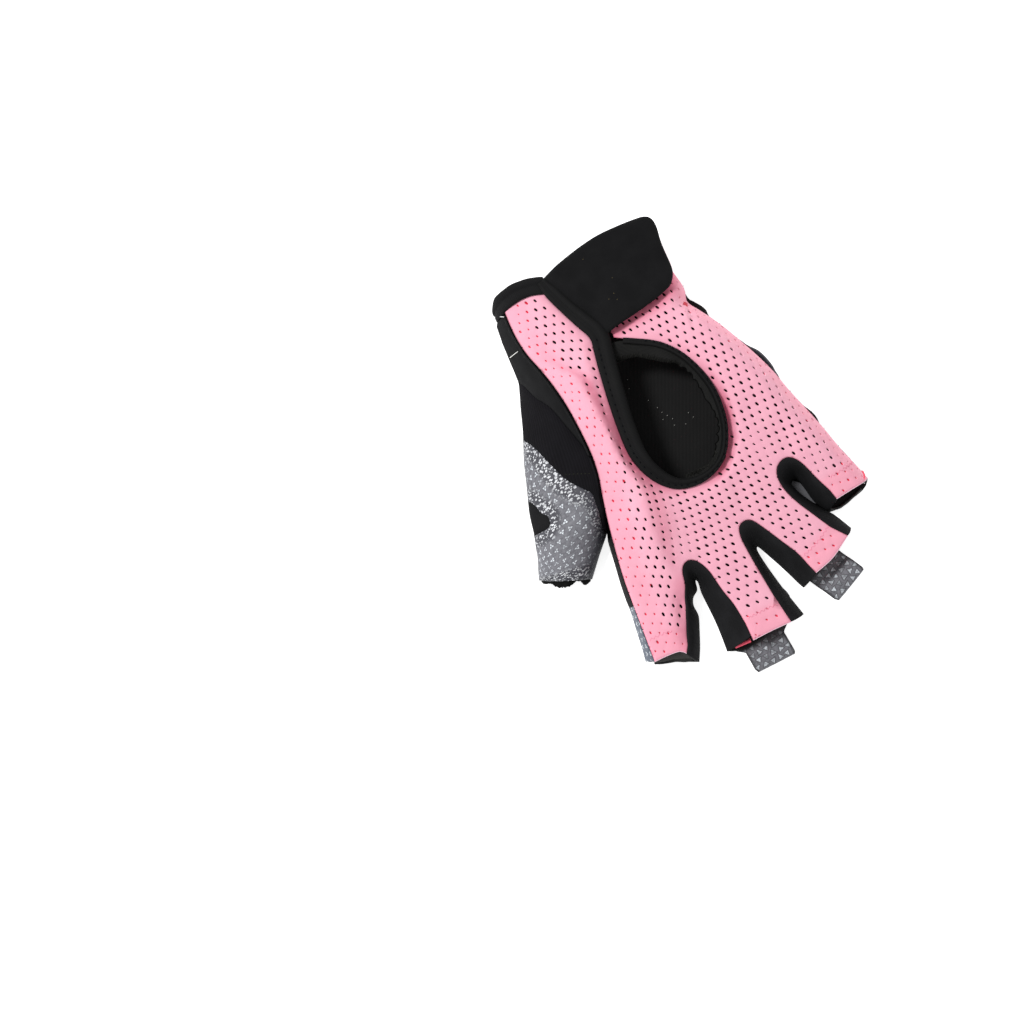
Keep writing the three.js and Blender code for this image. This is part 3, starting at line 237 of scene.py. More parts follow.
def smooth_path(points: Sequence[Sequence[float]], spacing: float, closed: bool = False) -> list[list[float]]:
    """Even steps along a smooth curve through some points.

    Args:
        points: rows of numbers, whose first two are the place in plan.
        spacing: about how far apart the steps are.
        closed: whether the curve returns to its start.

    Returns:
        Rows like the given ones.
    """
    rows = [list(map(float, p)) for p in points]
    count = len(rows)
    made = []
    for i in range(count if closed else count - 1):
        if closed:
            a, b, c, d = (rows[(i + k) % count] for k in (-1, 0, 1, 2))
        else:
            a, b, c, d = (rows[min(max(i + k, 0), count - 1)] for k in (-1, 0, 1, 2))
        steps = max(1, round(math.dist(b[:2], c[:2]) / spacing))
        for k in range(steps):
            t = k / steps
            made.append([
                0.5 * (2 * q + (r - p) * t + (2 * p - 5 * q + 4 * r - s) * t * t
                       + (3 * q - p - 3 * r + s) * t**3)
                for p, q, r, s in zip(a, b, c, d)
            ])
    if not closed:
        made.append(rows[-1])
    return made


def plan(rows: Iterable[Sequence[float]]) -> list[Point]:
    """The first two numbers of each row."""
    return [(row[0], row[1]) for row in rows]


def lower(rows: Iterable[Sequence[float]]) -> list[Point]:
    """The third and fourth number of each row."""
    return [(row[2], row[3]) for row in rows]


def spaced(points: Sequence[Point], least: float) -> list[Point]:
    """A closed outline without the points that lie closer than least to the next one."""
    return [p for p, q in zip(points, [*points[1:], points[0]]) if math.dist(p, q) > least]


class Value:
    """A shader number. Python's operators on it add Math nodes."""

    def __init__(self, net: "Net", socket: bpy.types.NodeSocket) -> None:
        """Wraps an output socket of a net."""
        self.net = net
        self.socket = socket

    def __add__(self, other: "Value | float") -> "Value":
        """Sum."""
        return self.net.math("ADD", self, other)

    def __sub__(self, other: "Value | float") -> "Value":
        """Difference."""
        return self.net.math("SUBTRACT", self, other)

    def __rsub__(self, other: float) -> "Value":
        """Difference from a number."""
        return self.net.math("SUBTRACT", other, self)

    def __mul__(self, other: "Value | float") -> "Value":
        """Product."""
        return self.net.math("MULTIPLY", self, other)

    def __truediv__(self, other: "Value | float") -> "Value":
        """Quotient."""
        return self.net.math("DIVIDE", self, other)

    __radd__ = __add__
    __rmul__ = __mul__

    def rise(self, low: float, high: float) -> "Value":
        """A clamped straight rise from 0 at low to 1 at high."""
        return self.net.node("MapRange", {"clamp": True}, {0: self, 1: low, 2: high, 3: 0.0, 4: 1.0})


class Net:
    """The node net of one material."""

    def __init__(self, name: str) -> None:
        """Starts an empty net.

        Args:
            name: the material's name.
        """
        self.material = bpy.data.materials.new(name)
        self.material.use_nodes = True
        self.tree = self.material.node_tree
        self.tree.nodes.clear()

    def node(self, kind: str, settings: Mapping[str, Any] | None = None,
             inputs: Mapping[int | str, Any] | None = None, output: int | str = 0) -> Value:
        """Adds a node.

        Args:
            kind: its type, without the word ShaderNode.
            settings: its own properties, set first.
            inputs: values or links of its sockets, by name or number.
            output: which of its outputs is wanted.

        Returns:
            That output.
        """
        made = self.tree.nodes.new("ShaderNode" + kind)
        for key, value in (settings or {}).items():
            setattr(made, key, value)
        for key, value in (inputs or {}).items():
            if isinstance(value, Value):
                self.tree.links.new(value.socket, made.inputs[key])
            else:
                made.inputs[key].default_value = value
        return Value(self, made.outputs[output])

    def math(self, operation: str, *values: Value | float) -> Value:
        """A Math node."""
        return self.node("Math", {"operation": operation}, dict(enumerate(values)))

    def mix(self, factor: Value | float, a: Any, b: Any) -> Value:
        """A colour between a and b."""
        return self.node("Mix", {"data_type": "RGBA"}, {0: factor, 6: a, 7: b}, 2)

    def attribute(self, name: str) -> Value:
        """A number that the mesh carries."""
        return self.node("Attribute", {"attribute_name": name}, output="Fac")

    def place_mm(self, flat: bool = True) -> Value:
        """The cloth's own flat place, or the place in the object, in millimetres.

        Args:
            flat: whether the flat place is wanted.

        Returns:
            The place.
        """
        if flat:
            return self.node("UVMap", {"uv_map": "Cloth"})
        spot = self.node("TexCoord", output="Object")
        return self.node("VectorMath", {"operation": "SCALE"}, {0: spot, "Scale": 1000.0})

    def noise(self, spot: Value, size: float, detail: float = 2.0, flat: bool = False) -> Value:
        """Noise with features of about size in millimetres."""
        settings = {"noise_dimensions": "2D" if flat else "3D"}
        return self.node("TexNoise", settings, {"Vector": spot, "Scale": 1 / size, "Detail": detail})

    def finish(self, colour: Any, roughness: Any, height: Value | None, relief: float = 0.1,
               **fixed: Any) -> bpy.types.Material:
        """Closes the net with a surface.

        Args:
            colour: the base colour, a value or a link.
            roughness: a value or a link.
            height: heights for the bump, or None.
            relief: what a height of 1 stands for, in millimetres.
            fixed: other sockets of the surface by name, with _ for a space.

        Returns:
            The material.
        """
        inputs: dict[int | str, Any] = {"Base Color": colour, "Roughness": roughness}
        if height is not None:
            bump = {"Strength": 1.0, "Distance": relief * MM, "Height": height}
            inputs["Normal"] = self.node("Bump", None, bump)
        inputs.update({key.replace("_", " "): value for key, value in fixed.items()})
        out = self.tree.nodes.new("ShaderNodeOutputMaterial")
        self.tree.links.new(self.node("BsdfPrincipled", None, inputs).socket, out.inputs["Surface"])
        return self.material


class Slot(Enum):
    """Material slots of the glove."""

    MESH = "pink_mesh"
    STRETCH = "black_stretch"
    RIB = "black_rib"
    STRAP = "black_strap"
    BINDING = "black_binding"
    LEATHER = "gray_leather"


class Marks(Enum):
    """Print of small triangles on the leather: size of a triangle, its cell and the width of its gap."""

    TRIOS = (1.9, 3.35, 0.24)
    SOLID = (2.0, 3.0, 0.0)


@dataclass(frozen=True)
class MeshKnit:
    """Pink warp-knit mesh, deeper where it is doubled, pale on the rims of its holes, and turned rose by
    painted shade in its shadows.
    """

    name: str = "pink_mesh_knit"
    plain: tuple = linear(251, 182, 201)
    doubled: tuple = linear(255, 160, 180)
    shaded: tuple = linear(242, 168, 191)
    rim: tuple = linear(255, 196, 212)
    border: tuple = linear(240, 96, 128)
    # painted shade: the rose that the mesh turns in its shadows
    painted_shade: tuple = linear(222, 96, 126)

    def make(self) -> bpy.types.Material:
        """Builds the material.

        Returns:
            The material.
        """
        net = Net(self.name)
        flat = net.place_mm()
        cloud = net.noise(flat, 9.0, 3.0).rise(0.35, 0.7)
        fibre = net.noise(flat, 0.5, 2.0)
        colour = net.mix(cloud * 0.4, self.plain, self.shaded)
        colour = net.mix(net.attribute("rim") * 0.25, colour, self.rim)
        colour = net.mix(net.attribute("doubled"), colour, self.doubled)
        # painted shade: rose on the fold's flank, in the shadows of the binding and the strap, and along the
        # index finger's dent
        colour = net.mix(net.attribute("painted_shade"), colour, self.painted_shade)
        colour = net.mix(fibre.rise(0.3, 0.75) * 0.12, colour, self.shaded)
        colour = net.mix(net.attribute("border"), colour, self.border)
        return net.finish(colour, 0.8, fibre, 0.045, Specular_IOR_Level=0.2, Sheen_Weight=0.1,
                          Sheen_Roughness=0.5)


@dataclass(frozen=True)
class PlainCloth:
    """Dyed cloth with a fine fibre grain and, if wanted, ribs.

    The fields are its name, colour and worn colour, relief in millimetres, spacing of the ribs in
    millimetres (0 for none), the direction that they step in, roughness, whether the pattern follows the
    cloth's own flat place, gloss, wear on its edges, and turn of the ribs in degrees.
    """

    name: str
    colour: tuple
    worn: tuple
    relief: float = 0.08
    rib: float = 0.0
    direction: str = "X"
    roughness: float = 0.85
    flat: bool = True
    gloss: float = 0.08
    wear: float = 0.5
    turn: float = 0.0

    @classmethod
    def thread(cls, name: str, colour: Sequence[int], worn: Sequence[int], relief: float = 0.02,
               **more: float) -> bpy.types.Material:
        """Finish of a thread, a tuft or a rolled edge, from two screen colours."""
        return cls(name, linear(*colour), linear(*worn), relief, flat=False, wear=0.0, **more).make()

    def make(self) -> bpy.types.Material:
        """Builds the material.

        Returns:
            The material.
        """
        net = Net(self.name)
        spot = net.place_mm(self.flat)
        if self.turn:
            spot = net.node("Mapping", None, {"Vector": spot, "Rotation": (0, 0, math.radians(self.turn))})
        fibre = net.noise(spot, 0.3, 3.0)
        cloud = net.noise(spot, 7.0, 3.0)
        height = fibre
        shade = fibre.rise(0.35, 0.8) * 0.5 + cloud.rise(0.35, 0.75) * 0.5
        if self.rib:
            wave = net.node("TexWave", {"wave_type": "BANDS", "bands_direction": self.direction},
                            {"Vector": spot, "Scale": math.tau / 20 / self.rib, "Distortion": 0.5,
                             "Detail": 1.0, "Detail Scale": 1.0}, "Fac")
            height = wave * 1.5 + fibre * 0.6
            shade = shade * 0.6 + wave * 0.4
        if self.wear:
            shade = shade + net.attribute("edge") * self.wear
        colour = net.mix(shade, self.colour, self.worn)
        rough = self.roughness + (fibre - 0.5) * 0.15
        return net.finish(colour, rough, height, self.relief, Specular_IOR_Level=self.gloss)


@dataclass(frozen=True)
class GripLeather:
    """Gray synthetic leather with small pale triangles, crowded where it is gathered, with painted shade in
    the gathered wrinkles and where a piece lays out its shade.
    """

    name: str
    marks: Marks
    base: tuple = linear(132, 132, 138)
    dark: tuple = linear(46, 46, 54)
    pale: tuple = linear(228, 234, 240)
    fleck: tuple = linear(238, 240, 244)
    turned: bool = True

    def make(self) -> bpy.types.Material:
        """Builds the material.

        Returns:
            The material.
        """
        size, cell, gap = self.marks.value
        net = Net(self.name)
        spot = net.place_mm()
        warp = net.noise(spot, 6.0, 1.0)
        parts = [net.node("SeparateXYZ", None, {0: spot}, k) for k in range(2)]
        across = parts[0] / cell + warp * 0.5
        along = parts[1] / (cell * ROW) + warp * 0.4
        row = net.math("FLOOR", along)
        across = across + net.math("PINGPONG", row, 1.0) * 0.5
        column = net.math("FLOOR", across)
        x = (across - column - 0.5) * cell
        y = (along - row - 0.5) * (cell * ROW)
        lot = net.node("CombineXYZ", None, {0: row, 1: column, 2: 3.0})
        chance = net.node("TexWhiteNoise", {"noise_dimensions": "3D"}, {"Vector": lot}, "Value")
        if self.turned:
            angle = chance * math.tau
        else:
            angle = net.math("FLOOR", chance * 3.99) * (math.pi / 3) + chance * 0.3
        cos, sin = net.math("COSINE", angle), net.math("SINE", angle)
        p = x * cos - y * sin
        q = x * sin + y * cos
        sides = []
        spokes = []
        for k in range(3):
            turn = math.radians(30 + 120 * k)
            sides.append(p * math.cos(turn) + q * math.sin(turn))
            toward = net.math("ABSOLUTE", p * -math.sin(turn) + q * math.cos(turn))
            spokes.append(net.math("MAXIMUM", toward, 0.0 - sides[-1] + 0.05 * size))
        reach = net.math("MAXIMUM", net.math("MAXIMUM", sides[0], sides[1]), sides[2])
        grain = net.noise(spot, 0.5, 3.0)
        rough_edge = (grain - 0.5) * 0.35
        inside = 1.0 - (reach + rough_edge).rise(size * 0.27, size * 0.32)
        outline = 1.0 - (reach + rough_edge).rise(size * 0.36, size * 0.46)
        if gap:
            nearest = net.math("MINIMUM", net.math("MINIMUM", spokes[0], spokes[1]), spokes[2])
            inside = inside * nearest.rise(gap * 0.35, gap * 0.75)
        else:
            inside = inside * (net.noise(spot, 0.9, 1.0).rise(0.38, 0.6) * 0.6 + 0.4)
        faded = net.math("PINGPONG", chance * 5.0, 1.0) * 0.55 + 0.45
        crowd = net.node("Mapping", None, {"Vector": spot, "Scale": (1.0, 1.5, 1.0), "Rotation": (0, 0, 0.4)})
        flecks = net.node("TexVoronoi", {"feature": "F1", "distance": "MANHATTAN"},
                          {"Vector": crowd, "Scale": 0.84}, "Distance")
        gathered = net.attribute("gathered")
        creased = (1.0 - (flecks + (grain - 0.5) * 0.6).rise(0.56, 0.66)) * gathered
        mottle = net.noise(spot, 1.4, 3.0).rise(0.35, 0.75) * 0.4 + grain.rise(0.3, 0.8) * 0.3
        colour = net.mix(mottle, self.base, self.dark)
        colour = net.mix(outline * (0.3 if gap else 0.7), colour, self.dark)
        colour = net.mix(inside * faded * (1.0 - gathered), colour, self.pale)
        # painted shade: the gathered bands are darkened between their flecks, for the shade in their wrinkles
        colour = net.mix(gathered * 0.65, colour, self.dark)
        colour = net.mix(creased * (net.noise(spot, 1.1, 1.0).rise(0.3, 0.6) * 0.6 + 0.4), colour, self.fleck)
        # painted shade: each piece lays out in its shade attribute where the leather lies in shade
        colour = net.mix(net.attribute("shade"), colour, self.dark)
        height = grain * 0.5 + inside * 0.5 + creased * 1.2
        return net.finish(colour, 0.5 + grain * 0.15, height, 0.12, Specular_IOR_Level=0.25)


@dataclass
class GloveForm:
    """The shape that every piece of the glove follows, in millimetres.

    A crease is a row of its start x and y, its end x and y, its width and its height.
    """

    palm_z: float = 1.7
    foot_z: float = 3.5
    thumb_shoulder: float = 18.0
    shoulder_power: float = 2.2
    creases: tuple = (
        (25.0, 34, 29.0, 46, 1.1, 0.7), (26.8, 33, 30.6, 44, 1.0, -1.5), (-15, -25, -10, -45, 4.0, -0.5),
        (31.5, 44, 32.5, 58, 1.2, -1.0), (-27, 8, -31, -14, 3.0, -0.5), (12, -24, 10, -36, 3.5, -0.5),
        (28, -2, 33, -18, 4.0, -0.5), (36, -14, 34, -26, 3.0, -0.5), (-34, -30, -37, -52, 2.4, -0.4),
        (-24.6, -50, -32.4, -68, 2.4, -1.7), (-14, 24, -14, 40, 2.2, 0.5),
    )

    @staticmethod
    def column(rows: Sequence[Sequence[float]], y: float, k: int) -> float:
        """Smooth value of one column at y, for rows that run from the wrist to the fingers.

        Args:
            rows: rows that start with y.
            y: along the glove.
            k: number of the column.

        Returns:
            The value.
        """
        last = len(rows) - 1
        y = min(max(y, rows[last][0]), rows[0][0])
        i = 0
        while i < last - 1 and y < rows[i + 1][0]:
            i += 1

        def slope(a: int, b: int) -> float:
            """Slope between two rows."""
            return (rows[b][k] - rows[a][k]) / (rows[b][0] - rows[a][0])

        step = rows[i + 1][0] - rows[i][0]
        t = (y - rows[i][0]) / step
        here = slope(i, i + 1)
        before = (slope(i - 1, i) + here) / 2 if i > 0 else here
        after = (here + slope(i + 1, i + 2)) / 2 if i + 2 <= last else here
        p, q = rows[i][k], rows[i + 1][k]
        bend = (before * (1 - t) - after * t) * step + (q - p) * (2 * t - 1)
        return p + (q - p) * t + t * (1 - t) * bend

    def edges(self, y: float) -> Point:
        """The two side edges of the back at y."""
        return self.column(BACK_SECTIONS, y, 1), self.column(BACK_SECTIONS, y, 5)

    def back(self, x: float, y: float) -> float:
        """Height of the smooth back at a place.

        Args:
            x, y: the place in plan.

        Returns:
            The height.
        """
        section = (self.column(BACK_SECTIONS, y, k) for k in range(1, 6))
        thumb_edge, edge_z, crown, shoulder, pinkie_edge = section
        u = min(max((x - thumb_edge) / self.thumb_shoulder, 0.0), 1.0)
        v = min(max((pinkie_edge - x) / shoulder, 0.0), 1.0)
        z = crown - (crown - edge_z) * (1 - u) ** 2 - (crown - self.foot_z) * (1 - v) ** self.shoulder_power
        return z + self.fold(x, y)[0]

    def fold(self, x: float, y: float) -> Point:
        """Height of the fold at a place, and how much the place is on its steep flank.

        Args:
            x, y: the place in plan.

        Returns:
            The height and a share from 0 to 1.
        """
        ridge, height, width = (self.column(FOLD_RIDGE, y, k) for k in (1, 2, 3))
        offset = x - ridge
        if offset < 0:
            return height * math.exp(-((offset / 6) ** 2)), 0.0
        flank = math.exp(-((offset / width - 0.8) ** 2) / 0.5) * min(height / 2.3, 1.0)
        return height * math.exp(-((offset / width) ** 1.35)), flank

    def drape(self, x: float, y: float) -> float:
        """Height that creases and soft waves add to the back.

        Args:
            x, y: the place in plan.

        Returns:
            The added height.
        """
        total = 0.3 * noise.noise(Vector((x / 13, y / 17, 3.1)))
        for ax, ay, bx, by, width, depth in self.creases:
            length = math.dist((ax, ay), (bx, by))
            along = ((x - ax) * (bx - ax) + (y - ay) * (by - ay)) / length
            across = ((x - ax) * (by - ay) - (y - ay) * (bx - ax)) / length
            if -4 < along < length + 4 and abs(across) < 3 * width:
                ends = smoothstep(along, -4, 4) * smoothstep(length - along, -4, 4)
                total += depth * ends * math.exp(-((across / width) ** 2))
        return total

    def thumb(self, t: float, w: float) -> Vector:
        """Point of the thumb side's skin at rib number t, a share w of the way to the palm's edge.

        Args:
            t: number of the rib, with parts between two ribs.
            w: share of the way to the palm's edge.

        Returns:
            The point.
        """
        i = min(int(t), len(THUMB_RIBS) - 2)
        s = t - i
        rows = []
        for rib in THUMB_RIBS[i:i + 2]:
            inner_z = rib[5] if rib[5] is not None else self.back(rib[0], rib[1]) - 1.3
            rows.append((*rib[:5], inner_z))
        ax, ay, bx, by, arch, top = (lerp(p, q, s) for p, q in zip(*rows))
        rise = arch * max(4 * w * (1 - w), 0.0) ** 0.6
        return Vector((lerp(ax, bx, w), lerp(ay, by, w), lerp(top, self.foot_z, w) + rise))

    def on_thumb(self, x: float, y: float) -> Point:
        """Rib number and share of the thumb side's skin at a place in plan.

        Args:
            x, y: the place.

        Returns:
            The number and the share.
        """
        w = 0.5
        t = 0.0
        for _ in range(8):
            low, high = 0.0, len(THUMB_RIBS) - 1.0
            for _ in range(24):
                t = (low + high) / 2
                i = min(int(t), len(THUMB_RIBS) - 2)
                a, b = THUMB_RIBS[i], THUMB_RIBS[i + 1]
                line = lerp(lerp(a[1], b[1], t - i), lerp(a[3], b[3], t - i), w)
                low, high = (t, high) if line > y else (low, t)
            inner = lerp(a[0], b[0], t - i)
            outer = lerp(a[2], b[2], t - i)
            w = min(max((x - inner) / (outer - inner), 0.0), 1.0)
        return t, w


def wrap(mesh: bpy.types.Mesh, name: str) -> bpy.types.Object:
    """Puts a mesh into the scene as a smooth object.

    Args:
        mesh: a finished mesh.
        name: the object's name.

    Returns:
        The object.
    """
    piece = bpy.data.objects.new(name, mesh)
    bpy.context.scene.collection.objects.link(piece)
    mesh.polygons.foreach_set("use_smooth", [True] * len(mesh.polygons))
    return piece


def close(bm: bmesh.types.BMesh, name: str) -> bpy.types.Object:
    """Makes an object of a finished bmesh and frees it.

    Args:
        bm: a finished bmesh.
        name: the object's name.

    Returns:
        The object.
    """
    mesh = bpy.data.meshes.new(name)
    bm.to_mesh(mesh)
    bm.free()
    return wrap(mesh, name)


def thicken(piece: bpy.types.Object, wall: float) -> None:
    """Adds a wall in millimetres below the outer face.

    Args:
        piece: an open cloth.
        wall: its thickness.
    """
    solidify = piece.modifiers.new("Wall", "SOLIDIFY")
    solidify.thickness = wall * MM
    solidify.offset = -1.0
    solidify.use_even_offset = False


def dress(piece: bpy.types.Object, material: bpy.types.Material, slot: Slot, *nodes: str) -> bpy.types.Object:
    """Gives a piece its finish, lets it ride with the glove and stand for solids.

    Args:
        piece: a finished object.
        material: its finish.
        slot: its slot; not used.
        nodes: names of the solids that it stands for.

    Returns:
        The piece.
    """
    piece.data.materials.clear()
    piece.data.materials.append(material)
    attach(piece, "root")
    if nodes:
        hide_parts(*nodes)
    LOG.info("%s: %d faces", piece.name, len(piece.data.polygons))
    return piece


def declare_cloth(piece: bpy.types.Object, width: float, length: float, held: str, closed: bool = False,
                  extras: Sequence[bpy.types.Object] = ()) -> None:
    """Computes the area of a sheet and of its cut, and keeps neither.

    Args:
        piece: the sheet.
        width: of its cut in millimetres.
        length: of its cut in millimetres.
        held: how it lies; not used.
        closed: whether its mesh has both faces.
        extras: pieces sewn to it.
    """
    area = sum(p.area for p in piece.data.polygons) / (2 if closed else 1)
    whole = width * length * MM * MM
    width * MM
    length * MM
    min(max(area, 0.31 * whole), 0.99 * whole)
    list(extras)


def grid_piece(name: str, place: Callable[[float, float], Vector], across: int, along: int,
               closed: bool = False, attributes: Mapping[str, Callable[[float, float], float]] | None = None
               ) -> bpy.types.Object:
    """A cloth made from a grid that a function lays out.

    Args:
        name: the object's name.
        place: the point in millimetres at shares u across and v along.
        across: number of faces across.
        along: number of faces along.
        closed: whether u = 0 and u = 1 are the same line and both ends are filled.
        attributes: numbers that the mesh carries, as functions of u and v.

    Returns:
        The object.
    """
    bm = bmesh.new()
    layer = bm.loops.layers.uv.new("Cloth")
    made = {key: bm.verts.layers.float.new(key) for key in attributes or {}}
    bmesh.ops.create_grid(bm, x_segments=across, y_segments=along, size=0.5)
    lengths = [0.0]
    widths = []
    for k in range(along + 1):
        row = [place(j / 12, k / along) for j in range(13)]
        widths.append(sum((b - a).length for a, b in zip(row, row[1:])))
        if k:
            lengths.append(lengths[-1] + (row[6] - middle).length)
        middle = row[6]
    flat = {v: (v.co.x + 0.5, v.co.y + 0.5) for v in bm.verts}
    for face in bm.faces:
        for loop in face.loops:
            u, v = flat[loop.vert]
            k = min(round(v * along), along)
            loop[layer].uv = ((u - 0.5) * widths[k], lengths[k])
    for vert, (u, v) in flat.items():
        vert.co = place(u, v) * MM
        for key, store in made.items():
            vert[store] = attributes[key](u, v)
    bmesh.ops.remove_doubles(bm, verts=bm.verts, dist=0.02 * MM)
    if closed:
        bmesh.ops.holes_fill(bm, edges=[e for e in bm.edges if e.is_boundary], sides=0)
    bmesh.ops.recalc_face_normals(bm, faces=bm.faces)
    return close(bm, name)


def face_up(piece: bpy.types.Object, toward: Vector = Vector((0, 0, 1))) -> bpy.types.Object:
    """Turns an open cloth over where most of it looks away from a direction.

    Args:
        piece: the cloth.
        toward: the direction.

    Returns:
        The cloth.
    """
    mesh = piece.data
    if sum(p.normal.dot(toward) * p.area for p in mesh.polygons) < 0:
        mesh.flip_normals()
    return piece


def face_out(piece: bpy.types.Object) -> bpy.types.Object:
    """Turns a folded cloth over where most of it looks towards its middle.

    Args:
        piece: the cloth.

    Returns:
        The cloth.
    """
    mesh = piece.data
    middle = sum((p.center * p.area for p in mesh.polygons), Vector()) / sum(p.area for p in mesh.polygons)
    if sum((p.center - middle).dot(p.normal) * p.area for p in mesh.polygons) < 0:
        mesh.flip_normals()
    return piece


def edge_distance(spots: np.ndarray, outline: np.ndarray, closed: bool = True
                  ) -> tuple[np.ndarray, np.ndarray]:
    """Distance of each spot to an outline, and the number of its nearest segment.

    Args:
        spots: rows of x and y.
        outline: rows of x and y.
        closed: whether the last point joins the first.

    Returns:
        The distances and the segments' numbers.
    """
    ends = np.roll(outline, -1, axis=0) if closed else outline[1:]
    starts = outline if closed else outline[:-1]
    best = np.full(len(spots), 1e9)
    which = np.zeros(len(spots), dtype=int)
    for i, (a, b) in enumerate(zip(starts, ends)):
        step = b - a
        t = np.clip(((spots - a) @ step) / max(step @ step, 1e-12), 0, 1)
        gap = np.hypot(*(spots - a - t[:, None] * step).T)
        nearer = gap < best
        best[nearer] = gap[nearer]
        which[nearer] = i
    return best, which


def within(spots: np.ndarray, outline: np.ndarray) -> np.ndarray:
    """Which spots lie inside a closed outline.

    Args:
        spots: rows of x and y.
        outline: rows of x and y.

    Returns:
        True or False for each spot.
    """
    inside = np.zeros(len(spots), dtype=bool)
    for (ax, ay), (bx, by) in zip(outline, np.roll(outline, -1, axis=0)):
        crosses = (ay > spots[:, 1]) != (by > spots[:, 1])
        if by != ay:
            inside ^= crosses & (spots[:, 0] < (bx - ax) * (spots[:, 1] - ay) / (by - ay) + ax)
    return inside


@dataclass
class Cut:
    """A cut of cloth: a flat outline filled with triangles and laid out by a function.

    The function gets the flat place and the distance to the outline, all in millimetres.
    """

    name: str
    outline: list[Point]
    spacing: float = 1.8
    hems: tuple = (0.35, 0.9)
    holes: list[list[Point]] = field(default_factory=list)
    rims: list[list[Point]] = field(default_factory=list)

    def spots(self) -> tuple[np.ndarray, np.ndarray]:
        """Loose points inside the outline, and the outline.

        Returns:
            Both as rows of x and y.
        """
        edge = np.array(self.outline)
        low, high = edge.min(axis=0), edge.max(axis=0)
        chance = np.random.default_rng(SEED)
        rows = []
        for k, y in enumerate(np.arange(low[1], high[1], self.spacing * ROW)):
            xs = np.arange(low[0] + (k % 2) * self.spacing / 2, high[0], self.spacing)
            rows.append(np.column_stack([xs, np.full(len(xs), y)]))
        land = np.vstack(rows)
        land += chance.uniform(-0.12, 0.12, land.shape) * self.spacing
        keep = [land[within(land, edge)]]
        least = [0.75 * self.spacing + (self.hems[-1] if self.hems else 0)]
        following = np.roll(edge, -1, axis=0)
        middle = (edge + following) / 2
        step = following - edge
        side = np.column_stack([-step[:, 1], step[:, 0]]) / np.maximum(np.hypot(*step.T), 1e-9)[:, None]
        turn = 1 if within(middle + side * 0.05, edge).mean() > 0.5 else -1
        corner = side + np.roll(side, 1, axis=0)
        corner /= np.maximum(np.hypot(*corner.T), 1e-9)[:, None]
        for reach in self.hems:
            keep.append(np.vstack([middle + side * turn * reach, edge + corner * turn * reach]))
            least.append(0.9 * reach)
        found = []
        for group, gap in zip(keep, least):
            distance, _ = edge_distance(group, edge)
            found.append(group[(distance >= gap) & within(group, edge)])
        return np.vstack(found), edge

    def build(self, place: Callable[[float, float, float], Vector],
              attributes: Mapping[str, PlanValue] | None = None
              ) -> bpy.types.Object:
        """Fills the outline and lays the cloth out.

        Args:
            place: the point for a flat place and its distance to the outline.
            attributes: numbers that the mesh carries, as functions of the same three.

        Returns:
            The object, with its faces upwards.
        """
        land, edge = self.spots()
        if self.rims:
            tree = kdtree.KDTree(len(self.rims))
            centres = [np.mean(rim, axis=0) for rim in self.rims]
            for i, (x, y) in enumerate(centres):
                tree.insert((x, y, 0), i)
            tree.balance()
            reach = max(math.dist(c, p) for c, rim in zip(centres, self.rims) for p in rim)
            land = np.array([p for p in land if tree.find((*p, 0))[2] > reach + 0.3])
        points = [tuple(p) for p in edge]
        border = len(points)
        links = []
        for ring in self.holes:
            start = len(points)
            points += ring
            links += [(start + k, start + (k + 1) % len(ring)) for k in range(len(ring))]
        for ring in self.rims:
            points += ring
        points += [tuple(p) for p in land]
        flat = [Vector(p) for p in points]
        made = geometry.delaunay_2d_cdt(flat, links, [list(range(border))], 1, 1e-4)
        flat, faces = made[0], made[2]
        if self.holes:
            size = max(math.dist(c, p) for c, ring in zip(centres, self.holes) for p in ring)
            rings = [np.array(ring) for ring in self.holes]
            kept = []
            for face in faces:
                spot = sum((flat[k] for k in face), Vector((0, 0))) / len(face)
                _, number, gap = tree.find((*spot, 0))
                if gap > size or not within(np.array([spot[:]]), rings[number])[0]:
                    kept.append(face)
            faces = kept
        distance, _ = edge_distance(np.array([p[:] for p in flat]), edge)
        bm = bmesh.new()
        layer = bm.loops.layers.uv.new("Cloth")
        stores = {key: bm.verts.layers.float.new(key) for key in attributes or {}}
        verts = []
        for p, d in zip(flat, distance):
            vert = bm.verts.new(place(p.x, p.y, d) * MM)
            for key, store in stores.items():
                vert[store] = attributes[key](p.x, p.y, d)
            verts.append(vert)
        for face in faces:
            made_face = bm.faces.new([verts[k] for k in face])
            for loop, k in zip(made_face.loops, face):
                loop[layer].uv = flat[k]
        bmesh.ops.delete(bm, geom=[v for v in bm.verts if not v.link_faces], context="VERTS")
        return face_up(close(bm, self.name))


def trim(piece: bpy.types.Object, name: str) -> bpy.types.Object:
    """Removes the faces where a number that the mesh carries is below a half.

    Args:
        piece: the cloth.
        name: the number's name.

    Returns:
        The cloth.
    """
    bm = bmesh.new()
    bm.from_mesh(piece.data)
    layer = bm.verts.layers.float[name]
    rest = [f for f in bm.faces if sum(v[layer] for v in f.verts) < 0.5 * len(f.verts)]
    bmesh.ops.delete(bm, geom=rest, context="FACES")
    bm.to_mesh(piece.data)
    bm.free()
    return piece


def row_of_stitches(name: str, spots: Iterable[tuple[Vector, Vector]], length: float, width: float
                    ) -> bpy.types.Object:
    """Short raised stitches.

    Args:
        name: the object's name.
        spots: place and direction of each stitch, in millimetres.
        length: of a stitch in millimetres.
        width: of its thread in millimetres.

    Returns:
        The object.
    """
    bm = bmesh.new()
    for spot, direction in spots:
        turn = direction.normalized().to_track_quat("X", "Z").to_matrix().to_4x4()
        size = Matrix.Diagonal((length / 2 * MM, width / 2 * MM, width / 2 * MM, 1))
        bmesh.ops.create_icosphere(bm, subdivisions=1, radius=1.0,
                                   matrix=Matrix.Translation(spot * MM) @ turn @ size)
    return close(bm, name)


